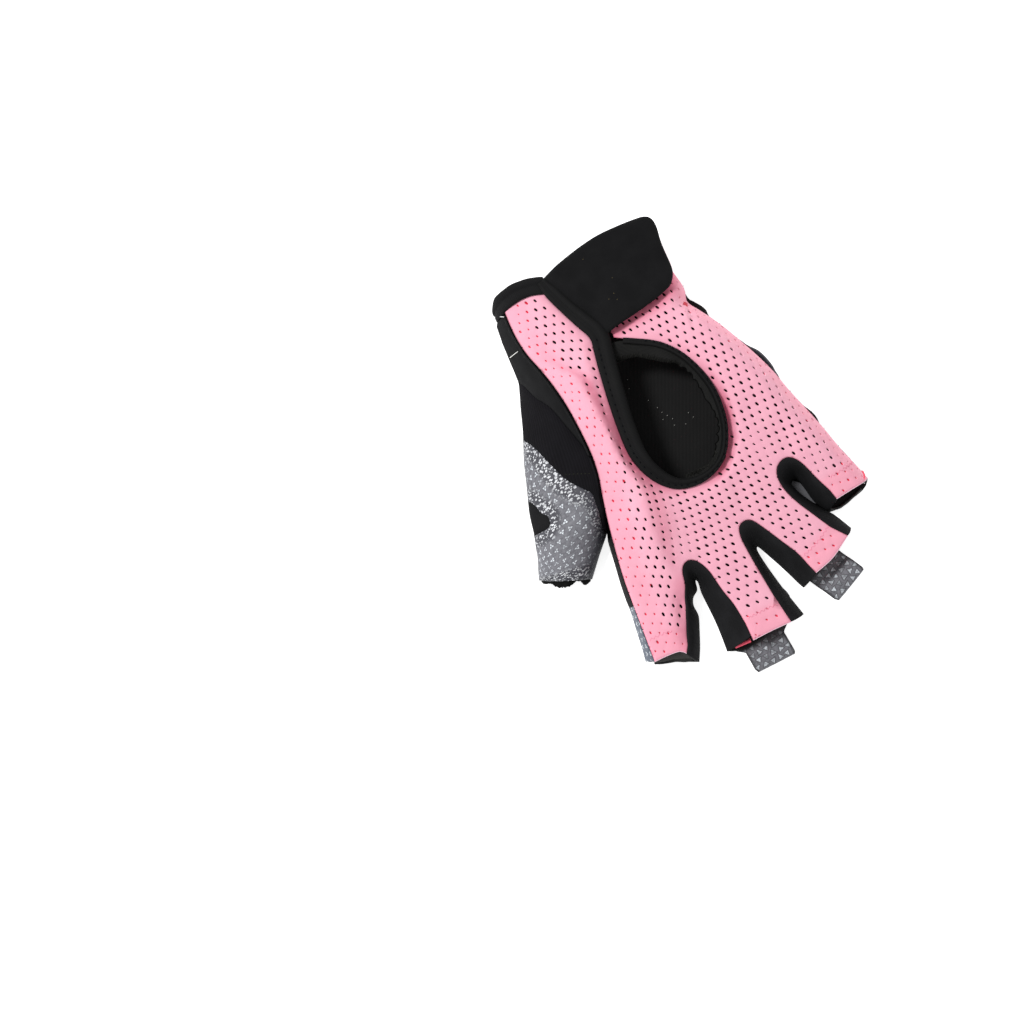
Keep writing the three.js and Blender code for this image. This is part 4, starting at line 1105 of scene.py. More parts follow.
def thread_piece(name: str, paths: Iterable[Sequence[Vector]], radius: float) -> bpy.types.Object:
    """Loose or sewn threads along paths in millimetres.

    Args:
        name: the object's name.
        paths: points of each thread.
        radius: of a thread.

    Returns:
        The object.
    """
    curve = bpy.data.curves.new(name, "CURVE")
    curve.dimensions = "3D"
    curve.bevel_depth = radius * MM
    curve.bevel_resolution = 1
    curve.use_fill_caps = True
    for path in paths:
        spline = curve.splines.new("POLY")
        spline.points.add(len(path) - 1)
        for point, spot in zip(spline.points, path):
            point.co = (*(spot * MM), 1)
    holder = bpy.data.objects.new(name + "_path", curve)
    bpy.context.scene.collection.objects.link(holder)
    mesh = bpy.data.meshes.new_from_object(holder.evaluated_get(bpy.context.evaluated_depsgraph_get()))
    bpy.data.objects.remove(holder)
    bpy.data.curves.remove(curve)
    return wrap(mesh, name)


def share_of(rows: Sequence[Sequence[float]], share: float) -> list[float]:
    """The row at a share of the way through some rows.

    Args:
        rows: rows of numbers.
        share: from 0 to 1.

    Returns:
        A row between its two neighbours.
    """
    place = min(max(share, 0.0), 1.0) * (len(rows) - 1)
    i = min(int(place), len(rows) - 2)
    return [lerp(p, q, place - i) for p, q in zip(rows[i], rows[i + 1])]


def inward(rows: Sequence[Sequence[float]], share: float) -> Vector:
    """Direction to the left of a path in plan, at a share of its length.

    Args:
        rows: the path, as rows that start with x and y.
        share: from 0 to 1.

    Returns:
        The direction, 1 long.
    """
    step = 1 / max(len(rows) - 1, 1)
    a, b = share_of(rows, share - step), share_of(rows, share + step)
    return Vector((a[1] - b[1], b[0] - a[0], 0)).normalized()


class Track:
    """A line in plan that tells how far a place is from it."""

    def __init__(self, points: Sequence[Sequence[float]], spacing: float = 0.6) -> None:
        """Lays the line through some rows, whose further numbers it keeps.

        Args:
            points: rows that start with x and y.
            spacing: step of the line.
        """
        self.rows = smooth_path(points, spacing)
        self.tree = kdtree.KDTree(len(self.rows))
        for i, row in enumerate(self.rows):
            self.tree.insert((row[0], row[1], 0), i)
        self.tree.balance()

    def near(self, x: float, y: float) -> tuple[float, list[float]]:
        """Distance of a place, and the line's nearest row."""
        _, i, gap = self.tree.find((x, y, 0))
        return gap, self.rows[i]


class HoleMap:
    """Holes of the mesh, and how far a place is from the nearest one."""

    def __init__(self, holes: Sequence[Sequence[float]]) -> None:
        """Keeps the holes.

        Args:
            holes: place x, y, half width, half length and turn of each.
        """
        self.holes = holes
        self.tree = kdtree.KDTree(len(holes))
        for i, (x, y, *_) in enumerate(holes):
            self.tree.insert((x, y, 0), i)
        self.tree.balance()

    def ovals(self, grown: float) -> list[list[Point]]:
        """Eight points round each hole.

        Args:
            grown: by how much it is grown.

        Returns:
            A ring of points for each.
        """
        rings = []
        for x, y, width, length, turn in self.holes:
            ring = []
            for k in range(8):
                a = math.tau * k / 8
                p, q = (length + grown) * math.cos(a), (width + grown) * math.sin(a)
                ring.append((x + p * math.cos(turn) - q * math.sin(turn),
                             y + p * math.sin(turn) + q * math.cos(turn)))
            rings.append(ring)
        return rings

    def rim(self, x: float, y: float, _: float) -> float:
        """1 at the edge of a hole, 0 a little away from it.

        Args:
            x, y: the place in plan.

        Returns:
            The share.
        """
        _, i, _ = self.tree.find((x, y, 0))
        hx, hy, width, length, turn = self.holes[i]
        p = (x - hx) * math.cos(turn) + (y - hy) * math.sin(turn)
        q = (y - hy) * math.cos(turn) - (x - hx) * math.sin(turn)
        return 1 - smoothstep(math.hypot(p / length, q / width), 1.05, 1.45)


@dataclass
class MeshBack:
    """Pierced pink back with the finger backs, its turned hems and its seams."""

    form: GloveForm
    wall: float = 0.6
    hem: float = 9.0
    thumb_hem: float = 8.0
    pinkie_hem: float = 5.0
    hole_length: float = 1.58
    hole_width: float = 0.82
    least_gap: float = 2.3
    edge_margin: float = 1.25
    index_margin: float = 0.85
    lean: float = 20.0
    fingers_lean: float = 33.0
    thumb_lean: float = 3.0
    window: Track = field(default_factory=lambda: Track(WINDOW_EDGE))
    strap: Track = field(default_factory=lambda: Track([p for p in STRAP_OUTLINE[1] if p[1] < 69]))
    # dent along the index finger, where painted shade is laid
    dent: Track = field(default_factory=lambda: Track([(-23.0, -48), (-27.5, -58), (-31.5, -68)]))

    def lines(self) -> dict[str, list[Point]]:
        """The outline's named lines, in order round the back.

        Returns:
            Points of each line, by its name.
        """
        ys = np.arange(70.4, -66.5, -1.5)
        thumb = [(self.form.edges(y)[0] + 0.1, float(y)) for y in ys]
        pinkie = [(self.form.edges(y)[1], float(y)) for y in np.arange(-47.4, 66.5, 1.5)]
        cuff = [(x, edge + 0.5) for x, _, edge, _ in CUFF_STATIONS[:7]]
        fingers = {
            "index_hem": INDEX_HEM, "fork_1": plan(WALL_INDEX_MIDDLE[1:-1]),
            "middle_hem": MIDDLE_HEM, "fork_2": plan(WALL_MIDDLE_RING[1:-1]),
            "ring_hem": RING_HEM, "fork_3": plan(WALL_RING_PINKIE[1:-1]), "pinkie_hem": PINKIE_HEM,
        }
        return {
            "thumb": thumb,
            **{key: smooth_path(line, STEP) for key, line in fingers.items()},
            "pinkie": pinkie,
            "wrist": [(31.7 - 1.5 * k, 66.7) for k in range(1, 26)],
            "slit": smooth_path(SLIT_EDGE[::-1], STEP),
            "window": plan(row for row in smooth_path(WINDOW_EDGE, STEP)[::-1] if row[1] < 68),
            "cuff": smooth_path(cuff, STEP)[1:-1],
        }

    def holes(self, edge: np.ndarray, turned: PlanValue
              ) -> list[tuple[float, float, float, float, float]]:
        """Holes of the mesh, kept clear of the edge and small over turned cloth.

        Args:
            edge: rows of the back's outline.
            turned: tells where a turned edge lies under the cloth.

        Returns:
            Place, half width, half length and turn of each hole.
        """
        chance = random.Random(SEED)
        ridge = [self.form.column(HOLES_SPLIT, y, 1) for y in range(-100, 100)]
        tests = (
            (HOLES_BODY, range(-22, 14), range(-32, 22),
             lambda x, y, r: x >= r + 0.5 and not (y > 36 and x < 2)),
            (HOLES_STRIP, range(-8, 8), range(-8, 8), lambda x, y, r: y >= 36 and x <= 2),
            (HOLES_INDEX, range(-12, 10), range(-14, 20), lambda x, y, r: y <= 36 and x <= r + 0.5),
        )
        found: list[Point] = []
        for terms, columns, rows, allowed in tests:
            for column in columns:
                for row in rows:
                    u, v = column / 20, row / 20
                    x = sum(cx * u**a * v**b for a, b, cx, _ in terms)
                    y = sum(cy * u**a * v**b for a, b, _, cy in terms)
                    if not (-90 < y < 80 and allowed(x, y, ridge[int(y) + 100])):
                        continue
                    if all(math.dist((x, y), other) > self.least_gap for other in found):
                        found.append((x, y))
        spots = np.array(found)
        distance, _ = edge_distance(spots, edge)
        beside_index = (spots[:, 0] < -26) & (spots[:, 1] < 14) & (spots[:, 1] > -58)
        margin = np.where(beside_index, self.index_margin, self.edge_margin)
        spots = spots[within(spots, edge) & (distance > margin)]
        holes = []
        for x, y in spots:
            lean = self.lean
            if y < -12 and -14 < x < 34:
                lean = self.fingers_lean
            if y < 36 and x < ridge[int(y) + 100]:
                lean = self.thumb_lean
            squeezed = (-20 < x < -12 and -46 < y < -20) or (23 < x < 28 and -29 < y < -11) \
                or (37 < x < 45 and -41 < y < -29)
            size = chance.uniform(0.85, 1.1) * (0.8 if squeezed else 1.0)
            if turned(x, y, 5.0):
                size *= chance.uniform(0.45, 0.82)
            width = self.hole_width * size * (0.75 if squeezed else 1.0)
            holes.append((x, y, width / 2, self.hole_length * size / 2, math.radians(lean - 90)))
        return holes

    def height(self, x: float, y: float, d: float) -> float:
        """Height of the mesh at a place and its distance to the edge.

        Args:
            x, y: the place in plan.
            d: its distance to the edge.

        Returns:
            The height.
        """
        gap, row = self.window.near(x, y)
        dip = row[4] * math.exp(-((gap / 3.0) ** 4))
        dip += 0.9 * math.exp(-((self.strap.near(x, y)[0] / 3.5) ** 2))
        return self.form.back(x, y) + self.form.drape(x, y) - dip - 0.5 * max(0.0, 1 - d / 0.7) ** 2

    def painted_shade(self, x: float, y: float, _: float) -> float:
        """Painted shade at a place: the shadows of the binding and the strap, the fold's shaded flank and the
        index finger's dent.

        Args:
            x, y: the place in plan.

        Returns:
            A share from 0 to 1.
        """
        gap, row = self.window.near(x, y)
        under = max(0.9 * math.exp(-((self.strap.near(x, y)[0] / 3.2) ** 2)),
                    0.4 * math.exp(-((self.dent.near(x, y)[0] / 4.5) ** 2)))
        flank = self.form.fold(x, y)[1] * (0.62 - 0.34 * smoothstep(y, 30, 40)) \
            * (0.5 + 0.5 * smoothstep(y, -18, -3))
        return max(min(row[4] / 2.4, 1.0) * math.exp(-((gap / 2.9) ** 4)), flank, under)

    def build(self) -> list[bpy.types.Object]:
        """Builds and dresses the back.

        Returns:
            Its pieces.
        """
        lines = self.lines()
        outline = spaced([p for line in lines.values() for p in line], 0.25)
        tracks = [(Track(lines[key]), self.hem, 0.42) for key in HEMS]
        tracks += [(Track(lines["thumb"]), self.thumb_hem, 0.3),
                   (Track(lines["pinkie"]), self.pinkie_hem, 0.5)]

        def turned(x: float, y: float, d: float) -> float:
            """1 where a turned edge lies under the cloth."""
            return float(d > 0.9 and any(track.near(x, y)[0] < width for track, width, _ in tracks))

        def doubled(x: float, y: float, _: float) -> float:
            """How much the doubled cloth of a turned edge shows."""
            return max((1 - smoothstep(track.near(x, y)[0], width - 1.6, width + 1.2)) * share
                       for track, width, share in tracks)

        back = self.mesh(outline, HoleMap(self.holes(np.array(outline), turned)), doubled)
        layer = self.turned_hems(outline, turned)
        declare_cloth(back, 108, 150, "laid", extras=[layer])
        return [back, layer] + self.seams(lines)

    def mesh(self, outline: list[Point], holes: HoleMap, doubled: PlanValue) -> bpy.types.Object:
        """Builds the pierced cloth.

        Args:
            outline: of the back.
            holes: the holes.
            doubled: how much a turned edge shows at a place.

        Returns:
            The piece.
        """
        cut = Cut("mesh_back", outline, 1.7, (0.35, 0.9), holes.ovals(0), holes.ovals(0.3))
        back = cut.build(lambda x, y, d: Vector((x, y, self.height(x, y, d) - 0.1 * holes.rim(x, y, d))),
                         # painted shade of the fold's flank, the binding's and the strap's shadows and the
                         # dent
                         {"rim": holes.rim, "doubled": doubled, "painted_shade": self.painted_shade,
                          "border": lambda x, y, d: 0.55 - 0.55 * smoothstep(d, 0.05, 0.35)})
        thicken(back, self.wall)
        return dress(back, MeshKnit().make(), Slot.MESH, "back_panel")

    def turned_hems(self, outline: list[Point], turned: PlanValue) -> bpy.types.Object:
        """Builds the turned edges under the cloth.

        Args:
            outline: of the back.
            turned: 1 at a place over a turned edge.

        Returns:
            The piece.
        """
        red = linear(244, 52, 80)
        layer = Cut("turned_hems", outline, 2.2, (1.0,)).build(
            lambda x, y, _: Vector((x, y, self.height(x, y, 2.0) - self.wall + 0.2)), {"turned": turned})
        layer = trim(layer, "turned")
        thicken(layer, 0.4)
        return dress(layer, MeshKnit("pink_turned_hem", red, red, linear(140, 12, 34)).make(), Slot.MESH)

    def seams(self, lines: dict[str, list[Point]]) -> list[bpy.types.Object]:
        """Loose stitches along the seams and the tacks above the hems.

        Args:
            lines: the outline's named lines.

        Returns:
            The pieces.
        """
        dark = PlainCloth.thread("black_thread", (14, 13, 14), (30, 28, 30), 0.03)
        chance = random.Random(SEED)
        spots = []
        for key in ("thumb", "fork_1", "fork_2", "fork_3", "pinkie", "window"):
            line = smooth_path(lines[key], 1.0)
            k = chance.randint(5, 14)
            while k < len(line) - 3:
                x, y = line[k]
                side = inward(line, k / (len(line) - 1))
                spots.append((Vector((x, y, self.height(x, y, 0.3))) + side * 0.1, side))
                k += chance.randint(8, 20)
        ticks = row_of_stitches("seam_stitches", spots, 1.1, 0.26)
        pieces = [dress(ticks, dark, Slot.STRETCH)]
        rosy = PlainCloth.thread("rose_thread", (228, 132, 158), (240, 150, 172), 0.03)
        paths = []
        for key in HEMS:
            line = lines[key]
            length = sum(math.dist(a, b) for a, b in zip(line, line[1:]))
            count = round(length / 1.1)
            path = []
            for k in range(count + 1):
                x, y = share_of(line, lerp(0.16, 0.84, k / count))
                spot = Vector((x, y, 0)) + inward(line, 0.5) * (7.6 + 0.8 * (k % 2))
                path.append(Vector((spot.x, spot.y, self.height(spot.x, spot.y, 3) - 0.02)))
            paths.append(path)
        pieces.append(dress(thread_piece("hem_zigzag", paths, 0.11), rosy, Slot.MESH))
        return pieces


@dataclass
class Opening:
    """Binding and facing of the window and the slit."""

    back: MeshBack
    profile: tuple = (
        (0.0, -0.6), (-0.02, 0.2), (0.05, 0.6), (0.16, 0.75), (0.26, 0.7), (0.32, 0.5), (0.37, 0.56),
        (0.47, 0.98), (0.63, 1.3), (0.8, 1.15), (0.94, 0.55), (1.0, -0.3), (0.93, -1.1), (0.7, -1.6),
        (0.4, -1.6), (0.12, -1.2),
    )
    sag: float = 1.5

    @staticmethod
    def flush(x: float, y: float) -> float:
        """How flat the edge lies at a place, 1 at the window's end toward the wrist."""
        return smoothstep(y, 20, 34) * smoothstep(x, -4, 0)

    def binding_point(self, s: float, height: float, v: float) -> Vector:
        """A point of the binding at share s of its width, for a height of its profile.

        Args:
            s: share of the binding's width.
            height: of its profile.
            v: share of the way round the opening.

        Returns:
            The point.
        """
        rows = self.back.window.rows
        x, y, width, rise, dip = share_of(rows, v)
        side = inward(rows, v)
        base = self.back.form.back(x, y) + rise - 0.5
        if height > 0:
            height *= 1 - 0.75 * self.flush(x, y)
        else:
            height -= dip * (1 - 0.6 * s)
        return Vector((x, y, base + height)) + side * (s * width - 0.2)

    def facing_point(self, u: float, v: float) -> Vector:
        """A point of the facing, from the window's rim inwards.

        Args:
            u: share of the way inwards.
            v: share of the way along the rim.

        Returns:
            The point.
        """
        ax, ay, bx, by = share_of(FACING_RIBS, v)
        x, y = lerp(ax, bx, lerp(0.3, 1, u)), lerp(ay, by, lerp(0.3, 1, u))
        wave = 0.35 * math.sin(v * 47) + 0.3 * math.sin(v * 19 + 1)
        depth = (0.75 + 0.45 * math.sin(v * 23)) * smoothstep(v, 0.1, 0.3) \
            * (1 - smoothstep(v, 0.66, 0.76))
        scallop = 0.4 - depth * abs(math.sin(v * 76 + 0.6 * math.sin(v * 31))) ** 0.6
        aim = Vector((bx - ax, by - ay)).normalized() * (scallop + 0.45 * math.sin(v * 27)) * u * u
        low = (1 - u) * (2.5 - 1.7 * self.flush(ax, ay)) + u * (2.5 - 0.9 * self.flush(ax, ay))
        top = self.back.form.back(ax, ay)
        return Vector((x + aim.x, y + aim.y, top - low - self.sag * u * u + wave * u * u))

    def build(self) -> list[bpy.types.Object]:
        """Builds and dresses the edge of the opening."""
        return [self.binding(), self.facing(), self.overlock(), self.edge_shadow_line(), self.stitches()]

    def binding(self) -> bpy.types.Object:
        """Padded roll along the slit and round the window.

        Returns:
            The piece.
        """
        ring = smooth_path(self.profile, 0.08, closed=True)
        ring.append(ring[0])
        tape = PlainCloth("binding_tape", linear(16, 16, 17), linear(26, 26, 26), 0.03, 0.5, "Y", 0.7,
                          gloss=0.12, wear=0.0).make()
        binding = grid_piece("opening_binding_tape",
                             lambda u, v: self.binding_point(*share_of(ring, u)[:2], v), 32, 220, closed=True)
        dress(binding, tape, Slot.BINDING, "opening_binding")
        declare_cloth(binding, 12, 235, "folded", closed=True)
        return binding

    def facing(self) -> bpy.types.Object:
        """Facing under the window's rim.

        Returns:
            The piece.
        """
        cloth = PlainCloth("facing_stretch", linear(29, 29, 29), linear(44, 44, 43), 0.08, 0.5, roughness=0.9)
        piece = face_up(grid_piece("opening_facing_cloth", self.facing_point, 8, 180))
        thicken(piece, 1.0)
        dress(piece, cloth.make(), Slot.STRETCH, "opening_facing")
        declare_cloth(piece, 10.5, 88, "gathered")
        return piece

    def overlock(self) -> bpy.types.Object:
        """Overlocked thread on the facing's edge.

        Returns:
            The piece.
        """
        paths = []
        for start, end in ((0.0, 0.24), (0.66, 1.0)):
            count = round((end - start) * 260)
            path = []
            for k in range(count + 1):
                u = 1.0 - (0.2 + 0.06 * math.sin(k * 1.9)) * (k % 2)
                spot = self.facing_point(u, lerp(start, end, k / count))
                path.append(spot + Vector((0, 0, 0.2 + 0.12 * (k % 3))))
            paths.append(path)
        fuzz = PlainCloth.thread("overlock_thread", (34, 34, 32), (60, 60, 57), 0.03)
        return dress(thread_piece("facing_overlock", paths, 0.15), fuzz, Slot.STRETCH)

    def edge_shadow_line(self) -> bpy.types.Object:
        """Near-black line on the facing's turned edge, which also paints the shadow under that edge.

        Returns:
            The piece.
        """
        # painted shadow: the near-black thread stands for the turned edge and the shadow line beside it
        shadow = PlainCloth.thread("facing_edge_painted_shadow", (5, 5, 5), (10, 10, 10))
        edge_shadow_line = [self.facing_point(1.0, lerp(0.2, 0.7, k / 120)) + Vector((0, 0, 0.1)) for k in range(121)]
        return dress(thread_piece("facing_edge", [edge_shadow_line], 0.2), shadow, Slot.STRETCH)

    def stitches(self) -> bpy.types.Object:
        """Stitches along the binding.

        Returns:
            The piece.
        """
        thread = PlainCloth.thread("binding_thread", (8, 8, 12), (16, 16, 22))
        chance = random.Random(SEED)
        spots = []
        count = 68
        for k in range(2, count - 2):
            v = (k + chance.uniform(-0.2, 0.2)) / count
            s = 0.27 + chance.uniform(-0.02, 0.02)
            a, b = self.binding_point(s, 0.62, v - 0.002), self.binding_point(s, 0.62, v + 0.002)
            if a.y < 46:
                spots.append(((a + b) / 2, b - a))
        return dress(row_of_stitches("binding_stitches", spots, 1.0, 0.5), thread, Slot.BINDING)


@dataclass
class WristClosure:
    """Strap over the slit and band round the wrist mouth."""

    form: GloveForm
    strap_wall: float = 2.4
    lift: float = 1.5
    droop: float = 0.0062
    band_wall: float = 2.6
    band_profile: tuple = (
        (0.0, 0.02), (0.18, -0.04), (0.4, 0.0), (0.5, 0.16), (0.56, 0.12), (0.66, -0.02), (0.84, 0.02),
        (0.96, 0.2), (1.0, 0.5), (0.95, 0.82), (0.7, 1.0), (0.35, 1.0), (0.0, 0.98), (-0.02, 0.5),
    )

    def strap_height(self, x: float, y: float, d: float) -> float:
        """Height of the strap's upper face.

        Args:
            x, y: the place in plan.
            d: its distance to the edge.

        Returns:
            The height.
        """
        top = self.form.column(BACK_SECTIONS, y, 3) + self.lift + 2.6
        roll = 0.9 * max(0.0, 1 - d / 1.3) ** 2.2
        soft = 0.25 * noise.noise(Vector((x / 16, y / 14, 8.3)))
        rooted = 2.4 * (1 - smoothstep(x + 3.2 + 0.36 * (y - 43.6), 0.0, 5.5))
        return top - self.droop * max(0.0, x - 8) ** 2 - roll - rooted + soft

    def build(self) -> list[bpy.types.Object]:
        """Builds and dresses the strap and the band.

        Returns:
            Its pieces.
        """
        outline = spaced([p for line in STRAP_OUTLINE for p in plan(smooth_path(line, 1.0))], 0.3)
        cloth = PlainCloth("strap_fabric", linear(20, 20, 21), linear(30, 30, 31), 0.04, roughness=0.9,
                           wear=0.6)
        strap = Cut("wrist_strap_fabric", outline, 1.8, (0.25, 0.6, 1.1)).build(
            lambda x, y, d: Vector((x, y, self.strap_height(x, y, d))),
            {"edge": lambda x, y, d: 1 - smoothstep(d, 0.1, 0.7)})
        thicken(strap, self.strap_wall)
        dress(strap, cloth.make(), Slot.STRAP, "wrist_strap")
        declare_cloth(strap, 43, 31, "laid")
        stations = smooth_path([(x, z, a, b) for x, z, a, b in CUFF_STATIONS], 1.2)
        ring = smooth_path(self.band_profile, 0.07, closed=True)
        ring.append(ring[0])

        def band(u: float, v: float) -> Vector:
            """A point of the band, u round its section and v round the wrist.

            Args:
                u, v: shares from 0 to 1.

            Returns:
                The point.
            """
            x, z, low, high = share_of(stations, v)
            across, depth = share_of(ring, u)[:2]
            side = inward(stations, v)
            return Vector((x + side.x * depth * self.band_wall, lerp(low, high, across),
                           max(z + side.y * depth * self.band_wall, 0.0)))

        tape = PlainCloth("cuff_tape", linear(19, 19, 20), linear(30, 30, 31), 0.05, 0.6, "Y", 0.75,
                          gloss=0.1, wear=0.0).make()
        cuff = grid_piece("cuff_band", band, 28, 130, closed=True)
        dress(cuff, tape, Slot.BINDING, "cuff_binding")
        declare_cloth(cuff, 14, 150, "folded", closed=True)
        return [strap, cuff]


@dataclass
class ThumbSide:
    """Panels of the thumb side: side panel, gusset, leather patch, knuckle panel and lining."""

    form: GloveForm
    wall: float = 1.4
    width: float = 42.0
    rib_places: tuple = (0, 10, 19, 27, 35, 43, 52, 61, 70, 77, 82.5, 87, 92, 97.5, 106)

    def point(self, a: float, b: float) -> Vector:
        """Point of the skin at a flat place."""
        w = (1 - math.cos(math.pi * min(max(a / self.width, 0.0), 1.0))) / 2
        return self.form.thumb(float(np.interp(b, self.rib_places, range(len(self.rib_places)))), w)

    def over(self, x: float, y: float, lift: float) -> Vector:
        """Point above the skin at a place in plan."""
        return self.form.thumb(*self.form.on_thumb(x, y)) + Vector((-0.5, 0, 0.8)) * lift

    def skin(self, a: float, b: float, lift: float = 0.0) -> Vector:
        """Point of the skin at a flat place, lifted off it.

        Args:
            a, b: the flat place, across and along.
            lift: in millimetres.

        Returns:
            The point.
        """
        spot = self.point(a, b)
        if not lift:
            return spot
        across = self.point(a + 0.4, b) - self.point(a - 0.4, b)
        along = self.point(a, b + 0.4) - self.point(a, b - 0.4)
        normal = across.cross(along).normalized()
        return spot + normal * (lift if normal.z >= -0.2 and normal.x < 0.6 or normal.z > 0 else -lift)

    def flat(self, points: Sequence[Point]) -> list[Point]:
        """Flat places of a curve given in plan, from one border of the skin to the other.

        Args:
            points: the curve in plan.

        Returns:
            The flat places.
        """
        rows = []
        for x, y in plan(smooth_path(points, 1.0)):
            t, w = self.form.on_thumb(x, y)
            along = float(np.interp(t, range(len(self.rib_places)), self.rib_places))
            rows.append((self.width * math.acos(1 - 2 * w) / math.pi, along))
        inside = [i for i, (a, _) in enumerate(rows) if 0.4 < a < self.width - 0.4]
        return rows[max(inside[0] - 1, 0):inside[-1] + 2]

    def border(self, a: float, start: float, end: float) -> list[Point]:
        """Flat places along a border of the skin, without its ends."""
        count = max(1, round(abs(end - start) / 1.5))
        return [(a, lerp(start, end, k / count)) for k in range(1, count)]

    def build(self) -> list[bpy.types.Object]:
        """Builds and dresses the thumb side.

        Returns:
            Its pieces.
        """
        full = self.width
        gusset_seam, patch_seam, notch = (self.flat(line) for line in (GUSSET_SEAM, PATCH_SEAM, THUMB_NOTCH))
        last = self.rib_places[-1]
        top, low = 1.6, 3.6
        side = [(0, top)] + self.border(0, top, gusset_seam[-1][1]) + gusset_seam[::-1] \
            + self.border(full, gusset_seam[0][1], low) + [(full, low)] \
            + [(full * (1 - k / 20), lerp(low, top, k / 20)) for k in range(1, 20)]
        gusset = gusset_seam + self.border(0, gusset_seam[-1][1], patch_seam[-1][1]) + patch_seam[::-1] \
            + self.border(full, patch_seam[0][1], gusset_seam[0][1])
        patch = patch_seam + self.border(0, patch_seam[-1][1], last) + [(0, last)] \
            + [(full * k / 20, last) for k in range(1, 20)] + [(full, last)] \
            + self.border(full, last, notch[-1][1]) + notch[::-1] \
            + self.border(full, notch[0][1], patch_seam[0][1])
        knuckle = notch + self.border(full, notch[-1][1], notch[0][1])

        def lay(depth: float, width: float) -> Callable[[float, float, float], Vector]:
            """Lays a panel on the skin with its seam drawn in."""
            return lambda a, b, d: self.skin(a, b, -depth * math.exp(-((d / width) ** 2)))

        stretch = PlainCloth("side_stretch", linear(24, 24, 25), linear(36, 36, 37), 0.05, wear=0.1).make()
        ribbed = PlainCloth("gusset_rib", linear(16, 15, 17), linear(27, 26, 30), 0.045, 1.3, "X", 0.88,
                            wear=0.2).make()
        crowded = [(Track(patch_seam), 5.0), (Track(notch), 4.8), (Track([(0, last), (full, last)]), 6.4)]
        leather = GripLeather("thumb_leather", Marks.TRIOS).make()
        pieces = []
        for name, outline, finish, slot, node, size in (
            ("side_panel_cloth", side, stretch, Slot.STRETCH, "side_panel", (18, 62)),
            ("thumb_gusset_cloth", gusset, ribbed, Slot.RIB, "thumb_gusset", (26, 64)),
            ("thumb_patch_leather", patch, leather, Slot.LEATHER, "thumb_patch", (42, 66)),
            ("thumb_knuckle_cloth", knuckle, stretch, Slot.STRETCH, "thumb_back_panel", (12, 13)),
        ):
            piece = Cut(name, spaced(outline, 0.2), 1.6, (0.35, 0.9)).build(lay(0.5, 0.6), {
                "edge": lambda a, b, d: 1 - smoothstep(d, 0.2, 0.9),
                "gathered": lambda a, b, d: max(1 - smoothstep(line.near(a, b)[0], reach - 0.8, reach + 0.8)
                                                for line, reach in crowded),
                # painted shade: the patch darkens towards its border at a = 0, where the thumb's side slopes
                # away from the light
                "shade": lambda a, b, d: 0.9 - 0.9 * smoothstep(a, 5.0, 20.0),
            })
            face_up(piece, Vector((-0.5, 0, 0.8)))
            thicken(piece, self.wall)
            pieces.append(dress(piece, finish, slot, node))
            declare_cloth(piece, *size, "laid")
        pieces += self.lining()
        return pieces

    def lining(self) -> list[bpy.types.Object]:
        """The lining that stands out of the thumb's end with a frayed edge.

        Returns:
            Its pieces.
        """
        inner_x, inner_y, outer_x, outer_y, arch, _ = THUMB_RIBS[-1]
        inner, outer = Vector((inner_x, inner_y, 0)), Vector((outer_x, outer_y, 0))
        out = Vector((inner.y - outer.y, outer.x - inner.x, 0)).normalized()
        chance = random.Random(SEED)
        fray = [chance.uniform(-0.25, 0.25) for _ in range(49)]

        def place(u: float, v: float) -> Vector:
            """A point of the lining, from inside the thumb outwards.

            Args:
                u: share of the way outwards.
                v: share of the way across.

            Returns:
                The point.
            """
            lumps = 0.3 + 2.1 * math.exp(-(((v - 0.42) / 0.22) ** 4)) \
                + 1.5 * math.exp(-(((v - 0.9) / 0.07) ** 2))
            reach = lumps + 0.9 * math.exp(-(((v - 0.08) / 0.09) ** 2)) + fray[round(v * 48)]
            spot = outer.lerp(inner, lerp(0.04, 0.97, v)) + out * lerp(-5.0, reach, u)
            rise = (arch - 1.9) * max(4 * v * (1 - v), 0.0) ** 0.6
            return Vector((spot.x, spot.y, self.form.foot_z + rise + 0.2 * math.sin(v * 40) * u))

        cloth = PlainCloth("thumb_lining", linear(14, 14, 14), linear(28, 28, 28), 0.1, wear=0.0).make()
        piece = face_up(grid_piece("thumb_lining_cloth", place, 8, 48))
        thicken(piece, 0.8)
        dress(piece, cloth, Slot.STRETCH, "thumb_liner")
        declare_cloth(piece, 10.5, 21, "gathered")
        return [piece]


